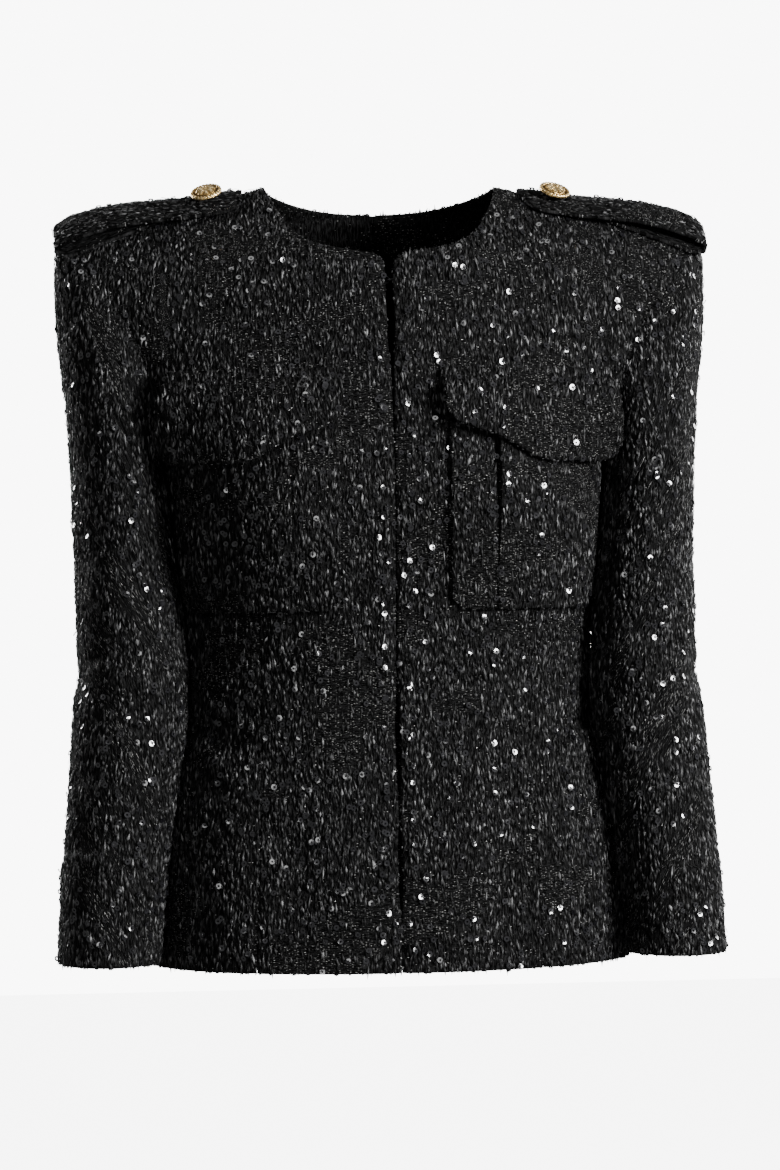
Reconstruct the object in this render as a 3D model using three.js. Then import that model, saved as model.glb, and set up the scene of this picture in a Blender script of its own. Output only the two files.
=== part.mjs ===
import * as THREE from 'three';
import { mergeVertices } from 'three/addons/utils/BufferGeometryUtils.js';

// A worn, collarless tweed jacket as hollow cloth, in millimetres.
// The origin lies between the high shoulder points, +X is the wearer's left,
// -Y the front and +Z up. Every piece is made for the wearer's left and mirrored.

// Driving sizes.
const WALL = 2.0; // cloth and its backing
const SEAM = 0.3; // between the edges of two joined pieces
const ARMHOLE_SEAM = 1.05; // the same at the armhole, whose two edges curve apart
const HEM_Z = -538; // lowest edge of the body
const CUFF_Z = -533; // lowest edge of the sleeves
const ARMPIT_V = 341; // rows are counted in millimetres up from the hem
const SHOULDER_V = 530; // the row of the shoulder seam
const SIDE_Y = 5; // where the side seam lies
const SQUARENESS = 2.2; // 2 makes the rings elliptic, more makes them squarer
const BICEP_Z = -215; // where the sleeve head ends and the straight sleeve begins
const SLEEVE_CLEAR = 1.8; // between the sleeve and the body that it hangs against
const SLEEVE_SOFT = 6; // how softly the sleeve turns aside from the body
const SLEEVE_GIRTH = 260; // about the way round the sleeve, for the slant of its folds
const FRONT_SEAM = 0.36; // places round the sleeve: 0 outside, 0.25 front, 0.5 inside
const BACK_SEAM = 0.9;
const VENT = { length: 60, lift: 3.4, width: 0.13, overlap: 0.018, edge: 0.02, rise: 8 };

// The way the sleeve leaves the armhole at its top, its front and its bottom, and how far
// that carries before the sleeve head falls.
const LEAVE = {
  top: { x: 1, z: -0.27 }, side: { x: 0.75, y: -0.45, z: -0.5 }, bottom: { x: 0.15, z: -1 },
};
const HEAD = { low: 14, high: 58, span: 1.6, fall: 0.85, seam: 0.12 };

// Body rings from the hem to the armpit. half is half the width at the side seam, front
// and back are the depths at the centre lines, and gap is half the centre front opening.
const RINGS = [
  { v: 0, half: 169, front: 113, back: 112, gap: 0.6 },
  { v: 38, half: 171, front: 112, back: 110, gap: 1.0 },
  { v: 75, half: 168.5, front: 110, back: 104, gap: 1.6 },
  { v: 108, half: 163, front: 107, back: 97, gap: 0.5 },
  { v: 138, half: 153, front: 104, back: 90, gap: 1.5 },
  { v: 163, half: 146, front: 102, back: 85, gap: 1.7 },
  { v: 188, half: 143.5, front: 100.5, back: 83, gap: 0.6 },
  { v: 218, half: 144, front: 102, back: 86, gap: 0.3 },
  { v: 248, half: 146, front: 105, back: 91, gap: 0.3 },
  { v: 288, half: 149.5, front: 110, back: 99, gap: 0.3 },
  { v: 318, half: 152.5, front: 112, back: 105, gap: 0.3 },
];

// Rows above the armpit run from the centre line or neckline to the armhole.
// x, y, z is the inner end, ax, ay, az the end on the armhole, flat how far the row is
// from a round ring towards a plain curve, and bow the power of that curve.
const FRONT_ROWS = [
  { v: 341, x: 0.3, y: -110, z: -195, ax: 154, ay: 5, az: -197, flat: 0, bow: 2 },
  { v: 366, x: 0.4, y: -106, z: -168, ax: 156, ay: -22, az: -187, flat: 0.1, bow: 2 },
  { v: 392, x: 0.8, y: -101, z: -140, ax: 158, ay: -44, az: -166, flat: 0.25, bow: 2 },
  { v: 418, x: 2.4, y: -93, z: -108, ax: 161.5, ay: -53, az: -141, flat: 0.4, bow: 2 },
  { v: 442, x: 2.5, y: -83, z: -76, ax: 168.5, ay: -54, az: -117, flat: 0.5, bow: 2 },
  { v: 450, x: 2.6, y: -80, z: -66, ax: 172.8, ay: -53.4, az: -108.5, flat: 0.55, bow: 1.9 },
  { v: 457, x: 5, y: -78.5, z: -57.5, ax: 176.6, ay: -52.4, az: -101.8, flat: 0.6, bow: 1.9 },
  { v: 463, x: 11, y: -77, z: -53.5, ax: 180.3, ay: -51.2, az: -95.5, flat: 0.65, bow: 1.8 },
  { v: 472, x: 28, y: -73, z: -50, ax: 186.5, ay: -49, az: -87, flat: 0.7, bow: 1.7 },
  { v: 482, x: 46, y: -66, z: -46, ax: 194.5, ay: -45, az: -75.5, flat: 0.8, bow: 1.6 },
  { v: 492, x: 61, y: -53.5, z: -37, ax: 203, ay: -39, az: -63, flat: 0.85, bow: 1.5 },
  { v: 502, x: 70.5, y: -40, z: -24, ax: 210, ay: -31, az: -51.5, flat: 0.9, bow: 1.4 },
  { v: 512, x: 77.5, y: -24, z: -10, ax: 215.5, ay: -21, az: -42, flat: 0.95, bow: 1.3 },
  { v: 521, x: 80.5, y: -8, z: -1.5, ax: 217.5, ay: -9, az: -36.5, flat: 1, bow: 1.1 },
  { v: 530, x: 81, y: 8, z: 0, ax: 218, ay: 4, az: -34, flat: 1, bow: 1 },
];
const BACK_ROWS = [
  { v: 341, x: 0, y: 108, z: -197, ax: 154, ay: 5, az: -197, flat: 0, bow: 2 },
  { v: 366, x: 0, y: 111, z: -172, ax: 157, ay: 28, az: -187, flat: 0.1, bow: 2 },
  { v: 392, x: 0, y: 112, z: -146, ax: 160, ay: 46, az: -166, flat: 0.25, bow: 2 },
  { v: 418, x: 0, y: 111, z: -118, ax: 164, ay: 57, az: -142, flat: 0.4, bow: 2 },
  { v: 442, x: 0, y: 106, z: -90, ax: 171, ay: 61, az: -117, flat: 0.5, bow: 2 },
  { v: 460, x: 0, y: 98, z: -66, ax: 179, ay: 60, az: -98, flat: 0.6, bow: 2 },
  { v: 475, x: 0, y: 87, z: -44, ax: 188, ay: 56, az: -83, flat: 0.7, bow: 1.9 },
  { v: 486, x: 0, y: 74, z: -26, ax: 197, ay: 50, az: -71, flat: 0.8, bow: 1.8 },
  { v: 494, x: 0, y: 62.5, z: -14, ax: 204, ay: 43, az: -61, flat: 0.85, bow: 1.7 },
  { v: 500, x: 18, y: 61, z: -13, ax: 208.5, ay: 38, az: -54.5, flat: 0.9, bow: 1.6 },
  { v: 507, x: 37, y: 56, z: -11.5, ax: 212, ay: 32, az: -48, flat: 0.9, bow: 1.5 },
  { v: 514, x: 55, y: 46, z: -8.5, ax: 214.7, ay: 25, az: -42.5, flat: 0.95, bow: 1.4 },
  { v: 520, x: 69, y: 33, z: -5, ax: 216.5, ay: 18, az: -38.5, flat: 1, bow: 1.2 },
  { v: 525, x: 77.5, y: 20, z: -2, ax: 217.5, ay: 11, az: -35.5, flat: 1, bow: 1.1 },
  { v: 530, x: 81, y: 8, z: 0, ax: 218, ay: 4, az: -34, flat: 1, bow: 1 },
];

// The princess seam: its distance from the centre line. It ends on the armhole.
const PRINCESS = [
  { v: 0, x: 97 },
  { v: 188, x: 91 },
  { v: 288, x: 93 },
  { v: 341, x: 100 },
  { v: 380, x: 119 },
  { v: 418, x: 150 },
];
const PRINCESS_END_V = 424;

// Soft swells and folds of the body: a place on the surface by x and z, the half widths
// along the two directions, the turn of the long direction and the height.
const BODY_FOLDS = [
  { back: false, x: 84, z: -228, long: 46, wide: 56, turn: 0, height: 8 },
  { back: false, x: 132, z: -372, long: 46, wide: 7, turn: 28, height: -4 },
  { back: false, x: 120, z: -398, long: 52, wide: 9, turn: 38, height: 3.5 },
  { back: false, x: 60, z: -345, long: 40, wide: 10, turn: 12, height: -2 },
  { back: true, x: 80, z: -130, long: 60, wide: 50, turn: 0, height: 6 },
  { back: true, x: 110, z: -352, long: 60, wide: 9, turn: 16, height: -4 },
  { back: true, x: 96, z: -380, long: 55, wide: 10, turn: 22, height: 3.5 },
  { back: true, x: 40, z: -332, long: 40, wide: 8, turn: 5, height: -2.5 },
];

// Sleeve rings below the sleeve head: its innermost, outermost, foremost and rearmost lines.
const SLEEVE_RINGS = [
  { z: -215, inner: 147, outer: 217, front: -67, back: 62 },
  { z: -260, inner: 142, outer: 216, front: -69, back: 50 },
  { z: -300, inner: 138, outer: 215, front: -72, back: 38 },
  { z: -340, inner: 136.5, outer: 214.5, front: -76, back: 28 },
  { z: -375, inner: 139, outer: 218.5, front: -80, back: 19 },
  { z: -415, inner: 144.5, outer: 221.5, front: -84, back: 10 },
  { z: -455, inner: 150.5, outer: 224.5, front: -87, back: 3 },
  { z: -500, inner: 156.5, outer: 227, front: -89, back: -3 },
  { z: CUFF_Z, inner: 160, outer: 228.5, front: -90, back: -5 },
];
const SLEEVE_FOLDS = [
  { round: 0.22, z: -318, wide: 0.13, tall: 8, turn: 0.35, height: -3.2 },
  { round: 0.2, z: -342, wide: 0.15, tall: 8, turn: -0.25, height: 2.4 },
  { round: 0.27, z: -362, wide: 0.12, tall: 7, turn: 0.3, height: -2.8 },
  { round: 0.12, z: -250, wide: 0.1, tall: 16, turn: 0.6, height: -2.2 },
  { round: 0.7, z: -300, wide: 0.14, tall: 9, turn: -0.4, height: -3 },
  { round: 0.66, z: -335, wide: 0.12, tall: 8, turn: 0.3, height: 2.2 },
];

const POCKET = {
  top: -152, bottom: -295, inner: 38, outer: 147, outerLow: 139,
  off: 1.35, pleatFrom: 0.3, pleatTo: 0.68, pleatHeight: 2.6, pleatEdge: 0.02,
  pleatLow: 0.72, pleatFlat: 0.75, corner: 6, cornerWidth: 0.08, cornerHeight: 0.1,
};
const FLAP = {
  top: -134, inner: 34, outer: 149, off: 0.8, rise: 6.4, riseOver: 17, edge: 8.4,
  outerLift: 4, outerFrom: 0.7, outerOver: 0.3,
};
// How deep the flap hangs along its width, from its inner to its outer edge.
const FLAP_EDGE = [
  { a: 0, depth: 27 },
  { a: 0.04, depth: 35 },
  { a: 0.3, depth: 46 },
  { a: 0.56, depth: 61 },
  { a: 0.62, depth: 62 },
  { a: 0.8, depth: 56 },
  { a: 0.96, depth: 51 },
  { a: 1, depth: 42 },
];

// The epaulette's path over the shoulder and back under itself: x, lift above the shoulder
// and half width. Its middle line lies forward of the shoulder seam, most at the neck.
const EPAULETTE_PATH = [
  { x: 97, lift: 4.4, half: 9 },
  { x: 100, lift: 4.6, half: 15 },
  { x: 106, lift: 5, half: 19.5 },
  { x: 118, lift: 5.6, half: 21 },
  { x: 136, lift: 7.4, half: 22 },
  { x: 156, lift: 10.6, half: 23 },
  { x: 176, lift: 13.4, half: 24 },
  { x: 194, lift: 14.2, half: 25 },
  { x: 208, lift: 13.4, half: 25.5 },
  { x: 218, lift: 10.8, half: 26 },
  { x: 223, lift: 7.6, half: 26 },
  { x: 222.5, lift: 4, half: 26 },
  { x: 217, lift: 1.9, half: 26 },
  { x: 208, lift: 1.5, half: 25 },
  { x: 192, lift: 1.5, half: 23 },
  { x: 172, lift: 1.5, half: 20 },
  { x: 156, lift: 1.5, half: 16 },
  { x: 150, lift: 1.5, half: 11 },
];
const EPAULETTE_LINE = [{ x: 97, y: -12 }, { x: 223, y: -5 }];
const EPAULETTE_WALL = 2.4;
const BUTTON = { x: 119, y: -17, off: 0.5, stand: 1.6, sides: 20 };
const BUTTON_PROFILE = [
  { r: 0, z: -BUTTON.stand },
  { r: 2.6, z: -BUTTON.stand },
  { r: 2.6, z: 0 },
  { r: 9, z: 0 },
  { r: 10.6, z: 0.8 },
  { r: 11, z: 1.8 },
  { r: 10.5, z: 2.7 },
  { r: 9.4, z: 3 },
  { r: 8.8, z: 2.5 },
  { r: 6.05, z: 3.6 },
  { r: 0, z: 4.2 },
];
const HOOK_Z = [-72, -146, -236, -338, -424];
const HOOK = { wire: 0.4, sides: 5, bend: 0.2, reach: 7.5 };
// Paths of the wires: x across the opening, y behind the cloth and z up.
const HOOK_PATH = [
  { x: HOOK.reach, y: 0, z: 1.2 },
  { x: 3, y: 0, z: 0.5 },
  { x: 0, y: 0, z: 0 },
  { x: -1.4, y: 0.35, z: 0 },
  { x: -1.9, y: 1.05, z: 0 },
  { x: -1.4, y: 1.75, z: 0 },
  { x: 0, y: 2.1, z: 0 },
  { x: 3.2, y: 2.1, z: 0 },
];
const EYE_PATH = [
  { x: -HOOK.reach, y: 1.05, z: -2.4 },
  { x: -2.6, y: 1.05, z: -2.4 },
  { x: -0.2, y: 1.05, z: -1.9 },
  { x: 0.3, y: 1.05, z: 0 },
  { x: -0.2, y: 1.05, z: 1.9 },
  { x: -2.6, y: 1.05, z: 2.4 },
  { x: -HOOK.reach, y: 1.05, z: 2.4 },
];

const CLOTH = { color: 0x141416, roughness: 0.85, metalness: 0 };
const GOLD = { color: 0xd9b56a, roughness: 0.3, metalness: 1 };
const BLACK_WIRE = { color: 0x1b1b1d, roughness: 0.4, metalness: 1 };

const V3 = THREE.Vector3;
const lerp = (a, b, t) => a + (b - a) * t;
const clamp = (x, low, high) => Math.min(high, Math.max(low, x));
const ease = (t) => clamp(t, 0, 1) ** 2 * (3 - 2 * clamp(t, 0, 1));
const bell = (t) => Math.exp(-t * t);

// A smooth value between the rows of a table, without overshoot.
function along(table, at, key, place) {
  const last = table.length - 1;
  const secant = (i) => (table[i + 1][key] - table[i][key]) / (table[i + 1][at] - table[i][at]);
  const slope = (i) => {
    if (i === 0) return secant(0);
    if (i === last) return secant(last - 1);
    const [before, after] = [secant(i - 1), secant(i)];
    return before * after <= 0 ? 0 : (2 * before * after) / (before + after);
  };
  const up = table[last][at] > table[0][at];
  let i = 0;
  while (i < last - 1 && (up ? place > table[i + 1][at] : place < table[i + 1][at])) i += 1;
  const span = table[i + 1][at] - table[i][at];
  const t = clamp((place - table[i][at]) / span, 0, 1);
  return (
    table[i][key] * (1 + 2 * t) * (1 - t) ** 2 + slope(i) * span * t * (1 - t) ** 2 +
    table[i + 1][key] * t * t * (3 - 2 * t) - slope(i + 1) * span * t * t * (1 - t)
  );
}

// The full row tables: the rings up to the armpit, then the rows above it.
function bodyRows(isBack, upper) {
  const lower = RINGS.map((ring) => ({
    v: ring.v, x: isBack ? 0 : ring.gap, y: isBack ? ring.back : -ring.front, z: HEM_Z + ring.v,
    ax: ring.half, ay: SIDE_Y, az: HEM_Z + ring.v, flat: 0, bow: 2,
  }));
  return [...lower, ...upper];
}
const ROWS = { front: bodyRows(false, FRONT_ROWS), back: bodyRows(true, BACK_ROWS) };

// A point of the body without its folds: u runs from the centre line to the side, v up.
function plainBody(which, u, v) {
  const row = (key) => along(ROWS[which], 'v', key, v);
  const angle = (clamp(u, 0, 1) * Math.PI) / 2;
  const flat = row('flat');
  const across = lerp(Math.sin(angle) ** (2 / SQUARENESS), u, flat);
  const deep = lerp(1 - Math.cos(angle) ** (2 / SQUARENESS), clamp(u, 0, 1) ** row('bow'), flat);
  return new V3(
    lerp(row('x'), row('ax'), across),
    lerp(row('y'), row('ay'), deep),
    lerp(row('z'), row('az'), lerp(across, u, flat)),
  );
}

function foldHeight(which, point) {
  let height = 0;
  for (const fold of BODY_FOLDS) {
    if (fold.back !== (which === 'back')) continue;
    const turn = (fold.turn * Math.PI) / 180;
    const [dx, dz] = [point.x - fold.x, point.z - fold.z];
    const lengthwise = dx * Math.cos(turn) + dz * Math.sin(turn);
    const crosswise = dz * Math.cos(turn) - dx * Math.sin(turn);
    height += fold.height * bell(lengthwise / fold.long) * bell(crosswise / fold.wide);
  }
  return height;
}

// The outward normal of a surface that is given by a function of two places.
function normalOf(surface, u, v, du, dv, flip) {
  const across = surface(u + du, v).sub(surface(u - du, v));
  const up = surface(u, v + dv).sub(surface(u, v - dv));
  return across.cross(up).multiplyScalar(flip).normalize();
}

const SHOULDER_UP = new V3(34, 0, 137).normalize(); // square to the shoulder line
const CENTRE_END_V = { front: 450, back: 494.5 }; // where the centre edges end at the neck

// A body point with its folds, and its outward normal. Both sides share the normals on
// the side seam and on the shoulder seam.
function body(which, u, v) {
  const plain = plainBody(which, u, v);
  const inside = (place) => clamp(place, 0.002, 0.998);
  const low = (place) => clamp(place, 1, SHOULDER_V - 1);
  const surface = (a, b) => plainBody(which, a, b);
  const normal = normalOf(surface, inside(u), low(v), 0.002, 1, which === 'back' ? -1 : 1);
  const sideShare = ease((u - 0.9) / 0.1) * ease((ARMPIT_V + 12 - v) / 20);
  const shoulderShare = ease((v - SHOULDER_V + 10) / 10);
  const centreShare = 1 - ease(u / 0.05);
  normal.lerp(new V3(1, 0, 0), sideShare).lerp(SHOULDER_UP, shoulderShare);
  if (v < CENTRE_END_V[which]) normal.x = lerp(normal.x, 0, centreShare);
  normal.normalize();
  const fade = (1 - shoulderShare) * (1 - sideShare);
  return { point: plain.addScaledVector(normal, foldHeight(which, plain) * fade), normal };
}

// How far round a body row a given x lies.
function uAtX(which, v, x) {
  let [low, high] = [0, 1];
  for (let i = 0; i < 40; i += 1) {
    const mid = (low + high) / 2;
    if (plainBody(which, mid, v).x < x) low = mid;
    else high = mid;
  }
  return (low + high) / 2;
}

// The place on the body that has two wanted coordinates, found by Newton steps.
function findOn(which, wanted, start) {
  let [u, v] = start;
  const keys = Object.keys(wanted);
  const miss = (a, b) => {
    const { point } = body(which, clamp(a, 0, 1), clamp(b, 0, SHOULDER_V));
    return keys.map((key) => point[key] - wanted[key]);
  };
  for (let i = 0; i < 30; i += 1) {
    const [m0, m1] = miss(u, v);
    const [a0, a1] = miss(u + 0.001, v).map((m, k) => (m - [m0, m1][k]) / 0.001);
    const [b0, b1] = miss(u, v - 0.1).map((m, k) => (m - [m0, m1][k]) / -0.1);
    const det = a0 * b1 - a1 * b0;
    if (Math.abs(det) < 1e-9) break;
    u = clamp(u - 0.8 * clamp((m0 * b1 - m1 * b0) / det, -0.1, 0.1), 0, 1);
    v = clamp(v - 0.8 * clamp((a0 * m1 - a1 * m0) / det, -30, 30), 0, SHOULDER_V);
  }
  return body(which, u, v);
}

// Half the body's width at a height and depth, for the sleeves that hang against it.
function bodyX(z, y) {
  const v = clamp(z - HEM_Z, 0, ARMPIT_V);
  const isFront = y < SIDE_Y;
  const rows = isFront ? ROWS.front : ROWS.back;
  const half = along(rows, 'v', 'ax', v);
  const depth = Math.abs(along(rows, 'v', 'y', v) - SIDE_Y);
  const share = clamp(Math.abs(y - SIDE_Y) / depth, 0, 1);
  return half * (1 - share ** SQUARENESS) ** (1 / SQUARENESS);
}

// The armhole edge of the body: round runs from the shoulder down the front and up the back.
function armhole(round) {
  const turn = ((round % 1) + 1) % 1;
  const which = turn <= 0.5 ? 'front' : 'back';
  const v = SHOULDER_V - (SHOULDER_V - ARMPIT_V) * (1 - Math.abs(1 - 2 * turn));
  return body(which, 1, v);
}

// The straight part of the sleeve.
function sleeveRing(round, z) {
  const ring = (key) => along(SLEEVE_RINGS, 'z', key, z);
  const angle = 2 * Math.PI * round;
  let x = lerp(ring('inner'), ring('outer'), (1 + Math.cos(angle)) / 2);
  const y = lerp(ring('front'), ring('back'), (1 - Math.sin(angle)) / 2);
  const least = bodyX(z, y) + SLEEVE_CLEAR;
  const soft = SLEEVE_SOFT;
  if (x < least + soft) x = least + soft * Math.exp((x - least - soft) / soft);
  return new V3(x, y, z);
}

// One coordinate of the way out of the armhole, high being 1 at its top and -1 at its bottom.
function leaveAlong(key, high) {
  const { top, side, bottom } = LEAVE;
  const turn = (top[key] + bottom[key]) / 2 - side[key];
  return side[key] + ((top[key] - bottom[key]) / 2) * high + turn * high * high;
}

// A point of the sleeve: down runs 0 to 1 over the head and 1 to 2 from there to the cuff.
function plainSleeve(round, down) {
  if (down >= 1) return sleeveRing(round, lerp(BICEP_Z, CUFF_Z, down - 1));
  const [high, side] = [Math.cos(2 * Math.PI * round), Math.sin(2 * Math.PI * round)];
  const start = armhole(round);
  const leave = new V3(leaveAlong('x', high), LEAVE.side.y * side, leaveAlong('z', high));
  leave.normalize();
  const from = start.point.clone().addScaledVector(leave, ARMHOLE_SEAM);
  const to = sleeveRing(round, BICEP_Z);
  const reach = lerp(HEAD.low, HEAD.high, ease((high + 1) / HEAD.span));
  const t = clamp(down, 0, 1);
  return new V3()
    .addScaledVector(from, (1 + 2 * t) * (1 - t) ** 2)
    .addScaledVector(leave, reach * t * (1 - t) ** 2)
    .addScaledVector(to, t * t * (3 - 2 * t))
    .addScaledVector(new V3(0, 0, 1), HEAD.fall * from.distanceTo(to) * t * t * (1 - t));
}

function sleeve(round, down) {
  const point = plainSleeve(round, down);
  const middle = clamp(down, 0.02, 1.99);
  const normal = normalOf(plainSleeve, round, middle, 0.004, 0.01, 1);
  const seamShare = 1 - ease(down / HEAD.seam);
  const high = ease((Math.cos(2 * Math.PI * round) + 0.75) / 0.9);
  normal.lerp(armhole(round).normal, seamShare * high).normalize();
  let height = 0;
  for (const fold of SLEEVE_FOLDS) {
    const aside = ((((round - fold.round + 0.5) % 1) + 1) % 1) - 0.5;
    const drop = point.z - fold.z - fold.turn * aside * SLEEVE_GIRTH;
    height += fold.height * bell(aside / fold.wide) * bell(drop / fold.tall);
  }
  return { point: point.addScaledVector(normal, height), normal };
}

// A closed sheet over a grid of places. at(i, j) gives the outer point, the normal and,
// where it differs from the cloth's, the wall.
function sheet(columns, rows, at) {
  const count = columns * rows;
  const positions = new Float32Array(count * 6);
  for (let j = 0; j < rows; j += 1) {
    for (let i = 0; i < columns; i += 1) {
      const { point, normal, wall = WALL } = at(i / (columns - 1), j / (rows - 1), i, j);
      point.toArray(positions, 3 * (j * columns + i));
      const inner = point.clone().addScaledVector(normal, -wall);
      inner.toArray(positions, 3 * (count + j * columns + i));
    }
  }
  const index = [];
  const quad = (a, b, c, d) => index.push(a, b, c, a, c, d);
  for (let j = 0; j < rows - 1; j += 1) {
    for (let i = 0; i < columns - 1; i += 1) {
      const [a, b] = [j * columns + i, j * columns + i + 1];
      quad(a, b, b + columns, a + columns);
      quad(count + a, count + a + columns, count + b + columns, count + b);
    }
  }
  const rim = [];
  for (let i = 0; i < columns - 1; i += 1) rim.push(i);
  for (let j = 0; j < rows - 1; j += 1) rim.push(j * columns + columns - 1);
  for (let i = columns - 1; i > 0; i -= 1) rim.push((rows - 1) * columns + i);
  for (let j = rows - 1; j > 0; j -= 1) rim.push(j * columns);
  rim.forEach((a, k) => {
    const b = rim[(k + 1) % rim.length];
    quad(a, count + a, count + b, b);
  });
  const geometry = new THREE.BufferGeometry();
  geometry.setAttribute('position', new THREE.BufferAttribute(positions, 3));
  geometry.setIndex(index);
  return geometry;
}

// Six times a closed mesh's volume, negative where its faces point in.
function signedVolume(geometry) {
  const [p, index] = [geometry.attributes.position, geometry.index];
  const corner = (k) => new V3().fromBufferAttribute(p, index.getX(k));
  let sum = 0;
  for (let k = 0; k < index.count; k += 3) {
    sum += corner(k).dot(corner(k + 1).cross(corner(k + 2)));
  }
  return sum;
}

function turnInsideOut(geometry) {
  const flipped = Array.from(geometry.index.array);
  for (let k = 0; k < flipped.length; k += 3) {
    [flipped[k + 1], flipped[k + 2]] = [flipped[k + 2], flipped[k + 1]];
  }
  geometry.setIndex(flipped);
}

function mirrored(geometry) {
  const copy = geometry.clone();
  copy.scale(-1, 1, 1);
  return copy;
}

const jacket = new THREE.Group();

// Joins the corners that a geometry repeats, so that its surface is closed.
function joined(geometry) {
  ['normal', 'uv'].forEach((name) => geometry.deleteAttribute(name));
  return mergeVertices(geometry, 1e-3);
}

function addMesh(name, loose, finish) {
  const geometry = joined(loose);
  if (signedVolume(geometry) < 0) turnInsideOut(geometry);
  geometry.computeVertexNormals();
  const mesh = new THREE.Mesh(geometry, new THREE.MeshStandardMaterial(finish));
  mesh.name = name;
  jacket.add(mesh);
}

function addPair(name, geometry, finish) {
  addMesh(`${name}_right`, mirrored(geometry), finish);
  addMesh(`${name}_left`, geometry, finish);
}

// The princess seam's place on a body row.
function princessU(v) {
  if (v >= PRINCESS_END_V) return 1;
  const lastV = PRINCESS[PRINCESS.length - 1].v;
  const onSeam = uAtX('front', Math.min(v, lastV), along(PRINCESS, 'v', 'x', Math.min(v, lastV)));
  return lerp(onSeam, 1, clamp((v - lastV) / (PRINCESS_END_V - lastV), 0, 1));
}

// The rows of a body panel, closer together where the outline turns.
function rowList(steps) {
  const list = [];
  steps.forEach(([from, to, count]) => {
    for (let k = 0; k < count; k += 1) list.push(lerp(from, to, k / count));
  });
  list.push(steps[steps.length - 1][1]);
  return list;
}
const LOW_ROWS = [[0, 188, 7], [188, ARMPIT_V, 5], [ARMPIT_V, 418, 4]];
const FRONT_V = rowList([...LOW_ROWS, [418, PRINCESS_END_V, 1], [PRINCESS_END_V, 450, 2],
  [450, 463, 3], [463, 512, 4], [512, SHOULDER_V, 2]]);
const SIDE_V = rowList([...LOW_ROWS, [418, 422.5, 1]]);
const BACK_V = rowList([...LOW_ROWS, [418, 486, 4], [486, 494, 1], [494, SHOULDER_V, 4]]);

// A body panel between two places on each row, kept half a seam short on joined edges.
function bodyPanel(which, rowPlaces, columns, fromU, toU, trims) {
  return sheet(columns, rowPlaces.length, (a, b, i, j) => {
    const v = Math.min(rowPlaces[j], SHOULDER_V - trims.top);
    const [first, last] = [fromU(rowPlaces[j]), toU(rowPlaces[j])];
    const rowLength = plainBody(which, first, v).distanceTo(plainBody(which, last, v));
    const u0 = first + (trims.from * (last - first)) / rowLength;
    const joined = trims.to && last < 1;
    const atSide = last === 1 && rowPlaces[j] <= ARMPIT_V;
    const u1 = last - ((joined ? trims.to : 0) * (last - first)) / rowLength;
    const spot = body(which, lerp(u0, u1, a), v);
    if (atSide && i === columns - 1) spot.point.y += which === 'back' ? SEAM / 2 : -SEAM / 2;
    return spot;
  });
}

function addBody() {
  const half = SEAM / 2;
  const front = bodyPanel('front', FRONT_V, 10, () => 0, princessU, { from: 0, to: half, top: half });
  const side = bodyPanel('front', SIDE_V, 7, princessU, () => 1, { from: half, to: half, top: 0 });
  const back = bodyPanel('back', BACK_V, 12, () => 0, () => 1, { from: half, to: half, top: half });
  addPair('front', front, CLOTH);
  addPair('side_front', side, CLOTH);
  addPair('back', back, CLOTH);
}

// Places down the sleeve: closer over its head and at its vent.
const SLEEVE_DOWN = rowList([[0, 0.12, 1], [0.12, 1, 6], [1, 1.6, 6], [1.6, 1.8, 2], [1.8, 2, 2]]);

function sleevePanel(columns, fromRound, toRound, isUpper) {
  return sheet(columns, SLEEVE_DOWN.length, (a, b, i, j) => {
    const down = SLEEVE_DOWN[j];
    const above = lerp(BICEP_Z, CUFF_Z, down - 1) - CUFF_Z - VENT.length;
    const open = isUpper && down > 1 ? ease(1 - above / VENT.rise) : 0;
    const past = isUpper && down > 1 && above < 0 ? VENT.overlap : 0;
    const round = lerp(fromRound - past, toRound, a);
    const spot = sleeve(round, down);
    const near = 1 - ease((round - fromRound - VENT.edge) / VENT.width);
    spot.point.addScaledVector(spot.normal, VENT.lift * open * near);
    return spot;
  });
}

function addSleeves() {
  const trim = 0.0012;
  addPair('sleeve_upper', sleevePanel(12, BACK_SEAM - 1 + trim, FRONT_SEAM - trim, true), CLOTH);
  addPair('sleeve_under', sleevePanel(12, FRONT_SEAM + trim, BACK_SEAM - trim, false), CLOTH);
}

// A place on the front of the body by x and z.
function onFront(x, z) {
  return findOn('front', { x, z }, [0.4, clamp(z - HEM_Z + 20, 10, 440)]);
}

// How far the box pleat stands proud across the pocket.
function pleatRise(a, b) {
  const edge = POCKET.pleatEdge;
  const inside = ease((a - POCKET.pleatFrom) / edge) * ease((POCKET.pleatTo - a) / edge);
  const pressed = POCKET.pleatFlat * ease((b - POCKET.pleatLow) / (1 - POCKET.pleatLow));
  return POCKET.pleatHeight * inside * (1 - pressed);
}

function addPockets() {
  const { pleatFrom: p, pleatTo: q, pleatEdge: e } = POCKET;
  const across = [0, 0.1, 0.2, p, p + e, lerp(p, q, 0.25), lerp(p, q, 0.5), lerp(p, q, 0.75),
    q - e, q, 0.8, 0.9, 1];
  const pocket = sheet(across.length, 9, (s, b, i) => {
    const a = across[i];
    const atEdge = 1 - ease(Math.min(a, 1 - a) / POCKET.cornerWidth);
    const atFoot = ease((b - 1 + POCKET.cornerHeight) / POCKET.cornerHeight);
    const z = lerp(POCKET.top, POCKET.bottom, b) + POCKET.corner * atEdge * atFoot;
    const spot = onFront(lerp(POCKET.inner, lerp(POCKET.outer, POCKET.outerLow, b), a), z);
    spot.point.addScaledVector(spot.normal, POCKET.off + WALL + pleatRise(a, b));
    return spot;
  });
  addPair('pocket', pocket, CLOTH);
}

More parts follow.
